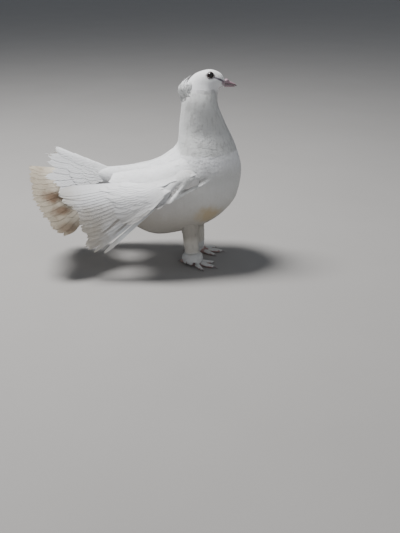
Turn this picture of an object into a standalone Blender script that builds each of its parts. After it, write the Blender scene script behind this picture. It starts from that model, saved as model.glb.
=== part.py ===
"""White fantail pigeon, standing, at life size: the solids of the whole bird.

Metres. X runs from the tail to the beak, Y to the bird's left and Z up, with
the floor at Z = 0. The body is a loft of rings that run from the rump over the
breast and up the neck to the base of the beak, parted by thin cuts into torso,
neck and head. Feathers are thin vanes laid on a smooth surface, each one
shingled over the next by a fixed step along that surface's normal.
"""
import math

import bpy
import bmesh
import numpy as np

GAP = 0.0003                     # clear space that neighbouring nodes keep
HALF_GAP = GAP / 2
CUT_GAP = 0.0004                 # swell of the body as a cutter, for the dip of its facets
FLAT_ANGLE = math.radians(0.7)   # faces that turn less than this are joined
SMALL_EDGE = 0.00004             # shorter edges are closed up
CENTRE_X = 0.0045                # middle of the drawing's length; the origin ends up under it

# Body rings: back x and z, breast x and z, half-width.
BODY_RINGS = (
    (-0.034, 0.1350, -0.030, 0.0920, 0.017),     # rump
    (-0.012, 0.1362, -0.005, 0.0560, 0.0245),
    (0.020, 0.1398, 0.033, 0.0395, 0.0350),
    (0.0535, 0.1562, 0.087, 0.0515, 0.0530),     # fullest belly
    (0.0610, 0.1665, 0.1205, 0.0715, 0.0575),
    (0.0622, 0.1768, 0.1405, 0.0985, 0.0535),    # breast
    (0.0628, 0.1878, 0.1458, 0.1300, 0.0440),
    (0.0637, 0.1992, 0.1375, 0.1625, 0.0340),
    (0.0650, 0.2108, 0.1232, 0.1930, 0.0255),
    (0.0660, 0.2225, 0.1125, 0.2195, 0.0210),    # throat
    (0.0690, 0.2350, 0.1130, 0.2320, 0.0172),
    (0.0745, 0.2465, 0.1152, 0.2356, 0.0155),    # nape
    (0.0870, 0.2575, 0.1172, 0.2372, 0.0146),
    (0.1030, 0.2612, 0.1190, 0.2378, 0.0130),    # crown above the eye
    (0.1165, 0.2568, 0.1208, 0.2384, 0.0092),
    (0.1225, 0.2485, 0.1225, 0.2398, 0.0052),    # base of the beak
)
RING_POINTS = 24
RING_POWER = 2.15            # 2 is an ellipse; a little more is fuller
NECK_START = 6.0             # ring number where the torso ends
HEAD_START = 9.6             # ring number where the neck ends
LAST_RING = len(BODY_RINGS) - 1
TORSO_RINGS = np.linspace(0, NECK_START, 18)
NECK_RINGS = np.linspace(NECK_START, HEAD_START, 9)
HEAD_RINGS = np.linspace(HEAD_START, LAST_RING, 13)

# The head is cocked: its right side is turned up about a fore-and-aft axis.
COCK_ANGLE = math.radians(15)
COCK_HEIGHT = 0.235
COCK_FROM, COCK_TO = 0.180, 0.226

EYE_PLACE = (0.1032, 0.0084, 0.2522)
EYE_RADIUS = 0.0058
LID_RING, LID_THICK = 0.0045, 0.0009
LID_OUT = 0.0131
LID_LEAN = math.radians(20)      # upper edge leaning in with the cheek

BEAK_BASE_X = 0.1228
# Beak rings: x, upper edge z, lower edge z, half-width.
UPPER_BEAK = (
    (0.1228, 0.2482, 0.2424, 0.0048),
    (0.1252, 0.2486, 0.2423, 0.0046),            # swollen cere
    (0.1285, 0.2466, 0.2421, 0.0036),
    (0.1330, 0.2442, 0.2415, 0.0027),
    (0.1366, 0.2424, 0.2403, 0.0017),
    (0.1382, 0.2404, 0.2393, 0.0006),            # small hook
)
LOWER_BEAK = (
    (0.1228, 0.2420, 0.2388, 0.0042),
    (0.1285, 0.2417, 0.2387, 0.0033),
    (0.1335, 0.2409, 0.2389, 0.0021),
    (0.1362, 0.2399, 0.2391, 0.0009),
)

# Right wing, as margins from front to back. Each point is x, y, z.
WING_UPPER = (
    (0.112, -0.043, 0.1420), (0.092, -0.0475, 0.1450), (0.068, -0.0475, 0.1440),
    (0.045, -0.0410, 0.1335), (0.018, -0.0330, 0.1245), (-0.005, -0.0315, 0.1195),
)
WING_LOWER = (
    (0.116, -0.045, 0.1355), (0.0956, -0.0540, 0.1290), (0.075, -0.0590, 0.1205),
    (0.055, -0.0615, 0.1127), (0.036, -0.0635, 0.1045), (0.0172, -0.0650, 0.0975),
)
WING_PAD_THICK = 0.010
# Where the flight feathers leave the coverts, and their tips, from the
# innermost feather (0) to the outermost primary (1).
FEATHER_ROOTS = (
    (0.022, -0.0345, 0.1215), (0.030, -0.0505, 0.1195),
    (0.038, -0.0590, 0.1140), (0.036, -0.0630, 0.1065),
)
FEATHER_TIPS = (
    (-0.0946, -0.0435, 0.1140), (-0.0850, -0.0500, 0.1015),
    (-0.0723, -0.0560, 0.0870), (-0.0668, -0.0600, 0.0669),
    (-0.0600, -0.064, 0.0450), (-0.0390, -0.068, 0.0405),
)

TAIL_ROOT = (-0.030, 0.0, 0.1230)
TAIL_SPREAD = math.radians(43)
TAIL_RISE = math.radians(15.5)
TAIL_DROOP = math.radians(50)
TAIL_LENGTH = 0.094

VANE_THICK = 0.0005
LAYER = 0.00085              # rise from one overlapping vane to the next
VANE_SHARES = (0.0, 0.4, 0.87, 1.0)
COVERT_SHARES = (0.0, 0.35, 0.8, 1.0)
FLIGHT_FEATHERS = 13         # on each wing, from the innermost to the outermost primary
TAIL_SIDE = 9                # tail feathers on each side of the middle one
CREST_SIDE = 5

# Place of each foot on the floor and how far it is turned to the left.
FEET = {"right": (0.0775, -0.0260, -33), "left": (0.0900, 0.0200, -8)}
ANKLE_HEIGHT = 0.0072
TOE_RADIUS = 0.0031
TOE_LENGTHS = {"inner": 0.0245, "middle": 0.030, "outer": 0.0235, "hind": 0.018}
TOE_TURNS = {"inner": 34, "middle": 2, "outer": -32, "hind": 180}     # towards the body
FEATHERED_TOES = {"right": ("middle", "outer"), "left": ("inner", "middle", "outer")}
MUFF_FEATHERS = 9            # round the right shank, whose toes they hide
SLEEVE_LEAN = math.radians(75)   # how far a toe's side feathers lie down its sides

WHITE = (0.86, 0.87, 0.88, 1)
CREAM = (0.80, 0.76, 0.66, 1)
BEAK_PINK = (0.62, 0.42, 0.38, 1)
TOE_PINK = (0.66, 0.36, 0.32, 1)
EYE_DARK = (0.02, 0.018, 0.02, 1)


def material(name, colour, rough):
    """A plain Principled material."""
    made = bpy.data.materials.new(name)
    made.use_nodes = True
    shader = made.node_tree.nodes["Principled BSDF"]
    shader.inputs["Base Color"].default_value = colour
    shader.inputs["Roughness"].default_value = rough
    return made


def spline(table, where):
    """Smooth curve through a table's rows, without overshoot.

    Rows are evenly spaced in the parameter. Slopes are the harmonic mean of
    the two neighbouring steps where they agree in sign, and zero elsewhere.
    Past either end the curve runs on straight.
    """
    rows = np.asarray(table, float)
    step = np.diff(rows, axis=0)
    slope = np.zeros_like(rows)
    before, after = step[:-1], step[1:]
    agree = before * after > 0
    total = np.where(agree, before + after, 1.0)
    slope[1:-1] = np.where(agree, 2 * before * after / total, 0.0)
    slope[0], slope[-1] = step[0], step[-1]
    where = np.asarray(where, float)
    inside = np.clip(where, 0, len(rows) - 1)
    index = np.minimum(inside.astype(int), len(rows) - 2)
    t = (inside - index)[..., None]
    value = (rows[index] * (1 - 3 * t**2 + 2 * t**3) + rows[index + 1] * (3 * t**2 - 2 * t**3)
             + slope[index] * (t - 2 * t**2 + t**3) + slope[index + 1] * (t**3 - t**2))
    over = (where - inside)[..., None]
    end_slope = np.where(over < 0, slope[0], slope[-1])
    return value + over * end_slope


def body_ring(number, count=RING_POINTS, grow=0.0):
    """Points of one body ring: an egg-like closed curve in its own plane."""
    back_x, back_z, front_x, front_z, width = spline(BODY_RINGS, number)
    turn = np.linspace(0, 2 * math.pi, count, endpoint=False)
    along = np.sign(np.cos(turn)) * np.abs(np.cos(turn))**(2 / RING_POWER)
    across = np.sign(np.sin(turn)) * np.abs(np.sin(turn))**(2 / RING_POWER)
    half_x, half_z = (back_x - front_x) / 2, (back_z - front_z) / 2
    length = math.hypot(half_x, half_z)
    scale = 1 + grow / length
    return np.stack([(back_x + front_x) / 2 + half_x * scale * along,
                     -(width + grow) * across,
                     (back_z + front_z) / 2 + half_z * scale * along], 1)


def ring_normal(number):
    """Unit direction square to a ring's plane, towards the head."""
    back_x, back_z, front_x, front_z, _ = spline(BODY_RINGS, number)
    line = np.array([back_x - front_x, 0, back_z - front_z])
    normal = np.array([line[2], 0, -line[0]])
    return normal / np.linalg.norm(normal)


def cock(points):
    """Turn the head end about a fore-and-aft axis, blended in up the neck."""
    share = np.clip((points[:, 2] - COCK_FROM) / (COCK_TO - COCK_FROM), 0, 1)
    turn = COCK_ANGLE * share**2 * (3 - 2 * share)
    height = points[:, 2] - COCK_HEIGHT
    moved = points.copy()
    moved[:, 1] = points[:, 1] * np.cos(turn) + height * np.sin(turn)
    moved[:, 2] = COCK_HEIGHT + height * np.cos(turn) - points[:, 1] * np.sin(turn)
    return moved


def mesh_object(name, points, faces, finish=None):
    """Object from points and faces, with its faces turned outwards."""
    mesh = bpy.data.meshes.new(name)
    mesh.from_pydata([tuple(p) for p in np.asarray(points, float)], [], faces)
    work = bmesh.new()
    work.from_mesh(mesh)
    bmesh.ops.triangulate(work, faces=[f for f in work.faces if len(f.verts) > 3])
    bmesh.ops.recalc_face_normals(work, faces=work.faces)
    work.to_mesh(mesh)
    work.free()
    made = bpy.data.objects.new(name, mesh)
    bpy.context.scene.collection.objects.link(made)
    if finish is not None:
        mesh.materials.append(finish)
    return made


def loft(name, rings, finish=None):
    """Closed tube through rings of equal count, its ends capped by fans."""
    rings = np.asarray(rings)
    stations, count, _ = rings.shape
    points = np.concatenate([rings.reshape(-1, 3), rings[:1].mean(1), rings[-1:].mean(1)])
    start, end = stations * count, stations * count + 1
    faces = []
    for row in range(stations - 1):
        for col in range(count):
            a, b = row * count + col, row * count + (col + 1) % count
            c, d = a + count, b + count
            faces += [(a, b, d), (a, d, c)]
    last = (stations - 1) * count
    for col in range(count):
        faces.append((start, (col + 1) % count, col))
        faces.append((end, last + col, last + (col + 1) % count))
    return mesh_object(name, points, faces, finish)


def slab(name, outer, inner, finish=None):
    """Closed sheet between two grids of points, split alike on both faces."""
    rows, cols, _ = outer.shape
    points = np.concatenate([outer.reshape(-1, 3), inner.reshape(-1, 3)])
    shift = rows * cols
    faces = []
    for r in range(rows - 1):
        for c in range(cols - 1):
            a, b = r * cols + c, r * cols + c + 1
            d, e = a + cols, b + cols
            faces += [(a, b, e), (a, e, d)]
            faces += [(a + shift, e + shift, b + shift), (a + shift, d + shift, e + shift)]
    rim = [c for c in range(cols - 1)]
    rim += [r * cols + cols - 1 for r in range(rows - 1)]
    rim += [(rows - 1) * cols + c for c in range(cols - 1, 0, -1)]
    rim += [r * cols for r in range(rows - 1, 0, -1)]
    for here, there in zip(rim, rim[1:] + rim[:1]):
        faces += [(here, there + shift, there), (here, here + shift, there + shift)]
    return mesh_object(name, points, faces, finish)


def ball(name, centre, radii, around=16, rows=10, finish=None):
    """Closed ellipsoid made of rings and two poles."""
    tilt = np.linspace(-math.pi / 2, math.pi / 2, rows + 1)[1:-1]
    turn = np.linspace(0, 2 * math.pi, around, endpoint=False)
    rings = [np.stack([radii[0] * math.cos(t) * np.cos(turn),
                       radii[1] * math.cos(t) * np.sin(turn),
                       np.full(around, radii[2] * math.sin(t))], 1) for t in tilt]
    rings = np.asarray(rings)
    made = loft(name, rings + np.asarray(centre), finish)
    points = made.data.vertices
    poles = len(points) - 2, len(points) - 1
    points[poles[0]].co.z = centre[2] - radii[2]
    points[poles[1]].co.z = centre[2] + radii[2]
    return made


def bake(made):
    """Put an object's evaluated mesh in its place and drop its modifiers."""
    graph = bpy.context.evaluated_depsgraph_get()
    mesh = bpy.data.meshes.new_from_object(made.evaluated_get(graph))
    made.modifiers.clear()
    old = made.data
    made.data = mesh
    bpy.data.meshes.remove(old)


def largest_surface(work):
    """Delete all but the closed surface with the most faces."""
    seen, best = set(), []
    for first in work.faces:
        if first in seen:
            continue
        group, queue = [], [first]
        seen.add(first)
        while queue:
            face = queue.pop()
            group.append(face)
            for edge in face.edges:
                if len(edge.link_faces) != 2:
                    continue
                for other in edge.link_faces:
                    if other not in seen:
                        seen.add(other)
                        queue.append(other)
        if len(group) > len(best):
            best = group
    keep = set(best)
    bmesh.ops.delete(work, geom=[f for f in work.faces if f not in keep], context="FACES")
    loose = [v for v in work.verts if not v.link_faces]
    bmesh.ops.delete(work, geom=loose, context="VERTS")


def slimmed(work):
    """A copy with flat faces joined and tiny edges closed, or None if that tears it."""
    slim = work.copy()
    bmesh.ops.dissolve_limit(slim, angle_limit=FLAT_ANGLE, verts=slim.verts, edges=slim.edges)
    bmesh.ops.dissolve_degenerate(slim, dist=SMALL_EDGE, edges=slim.edges)
    bmesh.ops.triangulate(slim, faces=slim.faces)
    largest_surface(slim)
    if all(edge.is_manifold for edge in slim.edges) and all(v.is_manifold for v in slim.verts):
        return slim
    slim.free()
    return None


def keep_largest(made):
    """Keep only an object's largest closed surface, split in triangles."""
    work = bmesh.new()
    work.from_mesh(made.data)
    bmesh.ops.remove_doubles(work, verts=work.verts, dist=1e-7)
    bmesh.ops.triangulate(work, faces=work.faces)
    largest_surface(work)
    slim = slimmed(work)
    if slim:
        work.free()
        work = slim
    bmesh.ops.recalc_face_normals(work, faces=work.faces)
    work.to_mesh(made.data)
    work.free()


def combine(made, others, operation):
    """One Boolean of an object with a collection of others, applied."""
    group = bpy.data.collections.new("operands")
    bpy.context.scene.collection.children.link(group)
    for other in others:
        bpy.context.scene.collection.objects.unlink(other)
        group.objects.link(other)
    change = made.modifiers.new(operation.title(), "BOOLEAN")
    change.operation = operation
    change.operand_type = "COLLECTION"
    change.collection = group
    change.solver = "EXACT"
    bake(made)
    for other in list(group.objects):
        bpy.data.objects.remove(other)
    bpy.data.collections.remove(group)
    keep_largest(made)
    return made


def move_points(made, change):
    """Send every vertex of an object through a function of an N by 3 array."""
    points = np.empty(len(made.data.vertices) * 3)
    made.data.vertices.foreach_get("co", points)
    made.data.vertices.foreach_set("co", change(points.reshape(-1, 3)).ravel())
    made.data.update()
    return made


def mirrored(made, name):
    """Copy of an object on the other side of the body's middle plane."""
    copy = bpy.data.objects.new(name, made.data.copy())
    bpy.context.scene.collection.objects.link(copy)
    move_points(copy, lambda points: points * np.array([1, -1, 1]))
    copy.data.flip_normals()
    return copy


def body_length(name, numbers, finish, start_gap, end_gap):
    """Part of the body's loft, through the given ring numbers."""
    rings = [body_ring(n) for n in numbers]
    rings[0] = rings[0] + ring_normal(numbers[0]) * start_gap
    rings[-1] = rings[-1] - ring_normal(numbers[-1]) * end_gap
    return loft(name, rings, finish)


def body_cutter():
    """The whole body swollen by the gap, to cut what lies against it."""
    numbers = np.concatenate([TORSO_RINGS, NECK_RINGS[1:], HEAD_RINGS[1:]])
    rings = [body_ring(n, RING_POINTS, CUT_GAP) for n in numbers]
    rings[0] = rings[0] - ring_normal(0) * GAP
    return loft("cutter", rings)


def build_head(finish):
    """Head: loft, lids round both eyes, sockets and the line of the mouth."""
    head = body_length("head", HEAD_RINGS, finish, HALF_GAP, 0)
    lids, holes = [], []
    for side in (-1, 1):
        x, y, z = EYE_PLACE
        turn = np.linspace(0, 2 * math.pi, 14, endpoint=False)
        lid_rings = []
        for a in turn:
            out = np.linspace(0, 2 * math.pi, 5, endpoint=False)
            reach = LID_RING + LID_THICK * np.cos(out)
            lean = math.tan(LID_LEAN) * reach * math.sin(a)
            lid_rings.append(np.stack([x + reach * math.cos(a),
                                       side * (LID_OUT - lean + LID_THICK * np.sin(out)),
                                       z + reach * math.sin(a)], 1))
        lids.append(closed_tube("lid", np.asarray(lid_rings)))
        holes.append(ball("socket", (x, side * y, z), (EYE_RADIUS + GAP,) * 3, 14, 8))
    combine(head, lids, "UNION")
    holes.append(mouth_slot())
    return combine(head, holes, "DIFFERENCE")


def closed_tube(name, rings):
    """Ring-shaped tube: its last ring joins its first."""
    stations, count, _ = rings.shape
    faces = []
    for row in range(stations):
        nxt = (row + 1) % stations
        for col in range(count):
            side = (col + 1) % count
            a, b = row * count + col, row * count + side
            c, d = nxt * count + col, nxt * count + side
            faces += [(a, b, d), (a, d, c)]
    return mesh_object(name, rings.reshape(-1, 3), faces)


def mouth_slot():
    """Thin wedge that carries the line of the mouth back to the gape."""
    back, front = 0.1168, 0.1240
    wide = 0.02
    lower = np.array([[[back, -wide, 0.2431], [back, wide, 0.2431]],
                      [[front, -wide, 0.2420], [front, wide, 0.2420]]])
    upper = lower + np.array([0, 0, 0.0004])
    return slab("mouth", upper, lower)


def beak_half(name, rings, finish):
    """Tapered half of the beak, flat along the mouth."""
    rows = spline(rings, np.linspace(0, len(rings) - 1, len(rings) + 2))
    turn = np.linspace(0, 2 * math.pi, 12, endpoint=False)
    made = []
    for x, top, low, width in rows:
        high = np.cos(turn)
        if name == "beak_upper":
            high = np.where(high < 0, high * 0.75 - 0.25 * (np.abs(high) > 0.3), high)
        else:
            high = np.where(high > 0, high * 0.75 + 0.25 * (np.abs(high) > 0.3), high)
        made.append(np.stack([np.full(12, x), width * np.sin(turn),
                              (top + low) / 2 + (top - low) / 2 * high], 1))
    return loft(name, made, finish)


def build_beak(finish):
    """Upper half with its nostrils, and lower half."""
    upper = beak_half("beak_upper", UPPER_BEAK, finish)
    nostrils = [ball("nostril", (0.1280, side * 0.0040, 0.2452), (0.0016, 0.0010, 0.0005), 8, 6)
                for side in (-1, 1)]
    combine(upper, nostrils, "DIFFERENCE")
    return [upper, beak_half("beak_lower", LOWER_BEAK, finish)]


def build_eyes(finish):
    """Two eyeballs in their sockets."""
    x, y, z = EYE_PLACE
    return [ball("eye_" + name, (x, side * y, z), (EYE_RADIUS,) * 3, 14, 8, finish)
            for name, side in (("right", -1), ("left", 1))]


def wing_sheet(u, v):
    """Point of the folded wing's surface.

    u runs from the innermost feather to the outermost primary and v from
    where the feathers leave the coverts to their tips, on straight lines
    bowed a little outwards.
    """
    u, v = np.broadcast_arrays(u, v)
    root = spline(FEATHER_ROOTS, u * (len(FEATHER_ROOTS) - 1))
    tip = spline(FEATHER_TIPS, u * (len(FEATHER_TIPS) - 1))
    t = v[..., None]
    bow = np.stack([0 * v, -0.010 * v * (1 - v), 0.004 * v * (1 - v)], -1)
    return root * (1 - t) + tip * t + bow


def tail_sheet(u, v):
    """Point of the spread tail's surface.

    u runs from the ridge (0) to the outermost feather (1) on the right, and
    v from root to tip. Feathers further out point more sideways and down.
    """
    u, v = np.broadcast_arrays(u, v)
    turn = TAIL_SPREAD * u
    rise = TAIL_RISE - TAIL_DROOP * np.sqrt(u**2 + 0.02)
    reach = 0.012 + TAIL_LENGTH * v
    lift = 0.006 * v * (1 - v)
    return np.stack([TAIL_ROOT[0] - reach * np.cos(turn) * np.cos(rise),
                     -reach * np.sin(turn) * np.cos(rise),
                     TAIL_ROOT[2] + reach * np.sin(rise) + lift], -1)


def sheet_normal(sheet, u, v, outward=(0, 0, 1)):
    """Unit normal of a sheet, from small steps along u and v, facing outward."""
    small = 1e-4
    along_u = sheet(u + small, v) - sheet(u - small, v)
    along_v = sheet(u, v + small) - sheet(u, v - small)
    normal = np.cross(along_u, along_v)
    normal = normal / np.linalg.norm(normal, axis=-1, keepdims=True)
    facing = np.sign(normal @ np.asarray(outward, float))
    return normal * facing[..., None]


def vane(sheet, outward, place, spacing, ends, half_width, lift=0.0,
         shares=VANE_SHARES, clip=None):
    """One feather as a thin closed strip laid on a sheet.

    It runs at u = place from v = ends[0] to ends[1]. Across, it has a left
    edge, a shaft and a right edge. At every point it stands off the sheet by
    lift + LAYER * (u - place) / spacing, so that at any one spot each feather
    clears the next one by a layer. The lift grows from nothing at the root.
    Its width grows from a narrow quill by the square root of the share of its
    length and closes in a round tip.
    """
    shares = np.asarray(shares, float)
    v = ends[0] + (ends[1] - ends[0]) * shares
    small = 1e-3
    reach = np.linalg.norm(sheet(place + small, v) - sheet(place - small, v), axis=-1) / (2 * small)
    full = half_width * (0.16 + 0.84 * np.sqrt(shares))
    tip = np.sqrt(np.clip(1 - ((shares - 0.72) / 0.30)**2, 0.02, 1))
    width = np.where(shares > 0.72, full * tip, full) / reach
    left, right = place - width, place + width
    if clip is not None:
        left = np.maximum(left, clip / reach)
    u = np.stack([left, np.full_like(left, place), right], 1)
    v = np.repeat(v[:, None], 3, 1)
    grown = np.clip(shares / 0.35, 0, 1)[:, None]
    rise = lift * grown + LAYER * (u - place) / spacing
    half = VANE_THICK / 2 * np.where(shares > 0.99, 0.6, 1.0)[:, None, None]
    normal = sheet_normal(sheet, u, v, outward)
    middle = sheet(u, v) + normal * rise[..., None]
    return slab("vane", middle + normal * half, middle - normal * half)


def wing_pad(finish=None):
    """Shoulder and arm of the wing with its small coverts, as a lens."""
    count = 9
    places = np.linspace(0, len(WING_UPPER) - 1, count)
    upper, lower = spline(WING_UPPER, places), spline(WING_LOWER, places)
    turn = np.linspace(0, 2 * math.pi, 12, endpoint=False)
    rings = []
    for row in range(count):
        share = row / (count - 1)
        thick = WING_PAD_THICK * (0.35 + 0.65 * math.sin(math.pi * (0.12 + 0.80 * share)))
        middle, half = (upper[row] + lower[row]) / 2, (upper[row] - lower[row]) / 2
        out = np.cross(half, [1.0, 0, 0])
        out = out / np.linalg.norm(out)
        if out[1] > 0:
            out = -out
        along = np.sign(np.cos(turn)) * np.abs(np.cos(turn))**0.7
        aside = np.sign(np.sin(turn)) * np.abs(np.sin(turn))**0.7
        rings.append(middle + np.outer(along, half) + np.outer(aside * thick * 0.5, out))
    return loft("pad", rings, finish)


def uneven(number, size):
    """Small repeatable change for feather number, between -size and size."""
    return size * math.sin(12.9898 * number + 4.1)


def build_wings(finish):
    """Both folded wings: arm, flight feathers and two tiers of coverts."""
    right = wing_pad(finish)
    right.name = "wing_right"
    out = (0, -1, 1)
    feathers = []
    for number in range(FLIGHT_FEATHERS):
        place = number / (FLIGHT_FEATHERS - 1)
        primary = max(0.0, (place - 0.72) / 0.28)
        feathers.append(vane(wing_sheet, out, place, 1 / (FLIGHT_FEATHERS - 1),
                             (-0.06, 1 + uneven(number, 0.025)), 0.0100 - 0.0040 * primary))
    for count, end, wide, lift in ((9, 0.42, 0.0060, 0.0028), (5, 0.22, 0.0080, 0.0052)):
        for number in range(count):
            place = (number + 0.3) / count
            feathers.append(vane(wing_sheet, out, place, 1 / count,
                                 (-0.08, end - 0.10 * place + uneven(number + count, 0.02)),
                                 wide, lift, COVERT_SHARES))
    combine(right, feathers, "UNION")
    combine(right, [body_cutter()], "DIFFERENCE")
    return [right, mirrored(right, "wing_left")]


def fan(sheet, side_count, half_width, ends, shares=VANE_SHARES, outward=(0, 0, 1), lift=0.0):
    """Feathers spread evenly to both sides of a middle one, which lies on top."""
    spacing = 1 / side_count
    made = []
    for number in range(1, side_count + 1):
        place = number * spacing
        end = ends[1] + uneven(number + side_count, 0.02)
        right = vane(sheet, outward, place, spacing, (ends[0], end), half_width, lift,
                     shares, clip=0.0004)
        made += [right, mirrored(right, "vane")]
    made.append(vane(sheet, outward, 0.0, 1e9, ends, half_width, lift + LAYER * 1.3, shares))
    return made


def tail_covert_sheet(u, v):
    """Sheet above the tail that rises more steeply and is less spread."""
    u, v = np.broadcast_arrays(u, v)
    turn = math.radians(25) * u
    rise = math.radians(31) - math.radians(36) * np.sqrt(u**2 + 0.02)
    reach = 0.010 + (0.070 + 0.028 * u * (1 - u)) * v
    return np.stack([-0.024 - reach * np.cos(turn) * np.cos(rise),
                     -reach * np.sin(turn) * np.cos(rise),
                     0.1285 + reach * np.sin(rise)], -1)


def under_covert_sheet(u, v):
    """Sheet below the tail, from the vent back."""
    u, v = np.broadcast_arrays(u, v)
    turn = math.radians(36) * u
    rise = math.radians(8) - math.radians(32) * np.sqrt(u**2 + 0.02)
    reach = 0.010 + 0.052 * v
    return np.stack([-0.026 - reach * np.cos(turn) * np.cos(rise),
                     -reach * np.sin(turn) * np.cos(rise),
                     0.1040 + reach * np.sin(rise)], -1)


def build_tail(finish):
    """Spread tail: root block in the rump, the fan, and coverts on both sides."""
    block = ball("tail", (TAIL_ROOT[0] - 0.012, 0, TAIL_ROOT[2] - 0.003),
                 (0.026, 0.017, 0.012), 14, 8, finish)
    pieces = [ball("vent", (-0.036, 0, 0.106), (0.020, 0.014, 0.012), 12, 6)]
    pieces += fan(tail_sheet, TAIL_SIDE, 0.0130, (0.0, 1.0))
    pieces += fan(tail_covert_sheet, 4, 0.0080, (0.0, 1.0), COVERT_SHARES)
    pieces += fan(tail_covert_sheet, 3, 0.0085, (-0.1, 0.62), COVERT_SHARES, lift=0.0026)
    pieces += fan(under_covert_sheet, 3, 0.0095, (0.0, 1.0), COVERT_SHARES, (0, 0, -1))
    combine(block, pieces, "UNION")
    return combine(block, [body_cutter()], "DIFFERENCE")


def crest_sheet(u, v):
    """Point of the crest: a shell round the nape that bulges and closes up."""
    u, v = np.broadcast_arrays(u, v)
    turn = math.radians(54) * u
    bulge = 0.0062 * np.sin(math.pi * np.clip(v, 0, 1)) - 0.0025 * v * np.abs(v)
    return np.stack([0.0885 - (0.0218 + bulge) * np.cos(turn),
                     -(0.0205 + 0.7 * bulge) * np.sin(turn),
                     0.2255 + 0.0235 * v + 0.004 * u**2], -1)


def build_crest(finish):
    """Crest: a low band at the nape and its feathers, cut clear of the body."""
    u, v = np.meshgrid(np.linspace(-1.08, 1.08, 13), np.linspace(-0.12, 0.10, 3))
    out = (-1, 0, 0)
    half = sheet_normal(crest_sheet, u, v, out) * 0.0018
    middle = crest_sheet(u, v)
    band = slab("crest", middle + half, middle - half, finish)
    combine(band, fan(crest_sheet, CREST_SIDE, 0.0044, (-0.06, 1.0), COVERT_SHARES, out), "UNION")
    return combine(band, [body_cutter()], "DIFFERENCE")


def build_leg(side, finish):
    """Feathered leg from the belly down to the ankle."""
    x, y, _ = FEET[side]
    levels = ((0.080, 0.0150, 0.0120), (0.045, 0.0110, 0.0097), (0.024, 0.0098, 0.0088),
              (0.012, 0.0092, 0.0082), (ANKLE_HEIGHT + GAP, 0.0070, 0.0066))
    turn = np.linspace(0, 2 * math.pi, 14, endpoint=False)
    rings = []
    for height, fore, wide in spline(levels, np.linspace(0, len(levels) - 1, 9)):
        lean = (height / 0.062) * 0.004
        rings.append(np.stack([x - lean + fore * np.cos(turn), y + wide * np.sin(turn),
                               np.full(14, height)], 1))
    leg = loft("leg_" + side, rings, finish)
    if side == "right":
        combine(leg, muff(x, y), "UNION")
    cutters = [body_cutter(), foot_solid(side, "foot", GAP)]
    return combine(leg, cutters, "DIFFERENCE")


def muff(x, y):
    """Feathers that swell from the right shank and fall round its toes."""
    def bell_turn(u):
        """Direction round the shank, with its inner side left bare."""
        return np.radians(-95 - 300 * (u - 0.5))

    def bell(u, v):
        """Bell round the shank: u goes round it and v out and down."""
        u, v = np.broadcast_arrays(u, v)
        turn = bell_turn(u)
        fall = np.radians(15 + 115 * v)
        reach = 0.0045 + 0.0090 * np.sin(fall)
        return np.stack([x + reach * np.cos(turn), y + reach * np.sin(turn),
                         0.0095 + 0.0090 * np.cos(fall)], -1)

    made = []
    for number in range(MUFF_FEATHERS):
        place = (number + 0.5) / MUFF_FEATHERS
        turn = bell_turn(place)
        made.append(vane(bell, (math.cos(turn), math.sin(turn), 0.5), place, 1 / MUFF_FEATHERS,
                         (0.0, 1 + uneven(number, 0.05)), 0.0050, shares=COVERT_SHARES))
    return made


def toe_frame(turn):
    """Directions along a toe and across it."""
    angle = math.radians(turn)
    return (np.array([math.cos(angle), math.sin(angle), 0]),
            np.array([-math.sin(angle), math.cos(angle), 0]))


def sleeve(place, turn, length):
    """Two feathers that lie like a tent over the outer half of a toe."""
    ahead, aside = toe_frame(turn)
    up = np.array([0, 0, 1])

    def arch(u, v):
        """Arch over the toe: u goes over it and v along it."""
        u, v = np.broadcast_arrays(u, v)
        lean = SLEEVE_LEAN * u
        size = 0.0020 + 0.0026 * np.sin(math.pi * v) + 0.0008 * v
        return (np.array([place[0], place[1], 0]) + np.multiply.outer(length * (0.5 + 0.65 * v), ahead)
                + np.multiply.outer(size * np.sin(lean), aside)
                + np.multiply.outer(0.0030 - 0.0010 * v + size * np.cos(lean), up))

    made = []
    for spot, end in ((-0.5, 1.0), (0.5, 0.9)):
        lean = SLEEVE_LEAN * spot
        made.append(vane(arch, aside * math.sin(lean) + up * math.cos(lean), spot, 1.0,
                         (0.0, end), 0.0044, shares=COVERT_SHARES))
    return made


def toe(place, turn, length, grow):
    """One toe with its claw, flat underneath, from the ball of the foot."""
    ahead, aside = toe_frame(turn)
    # Share of the length, height of the middle, radius.
    rows = spline(((0.0, 0.0034, 1.0), (0.35, 0.0030, 0.95), (0.75, 0.0026, 0.88),
                   (1.0, 0.0021, 0.72), (1.12, 0.0024, 0.34), (1.28, 0.0003, 0.12)),
                  np.linspace(0, 5, 8))
    around = np.linspace(0, 2 * math.pi, 8, endpoint=False)
    rings = []
    for share, height, size in rows:
        radius = TOE_RADIUS * size + grow
        ring = (ahead * length * share + aside * (radius * np.sin(around))[:, None]
                + np.outer(height + radius * np.cos(around), [0, 0, 1]))
        ring[:, 2] = np.maximum(ring[:, 2], 0)
        rings.append(ring + np.array([place[0], place[1], 0]))
    return loft("toe", rings)


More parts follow.
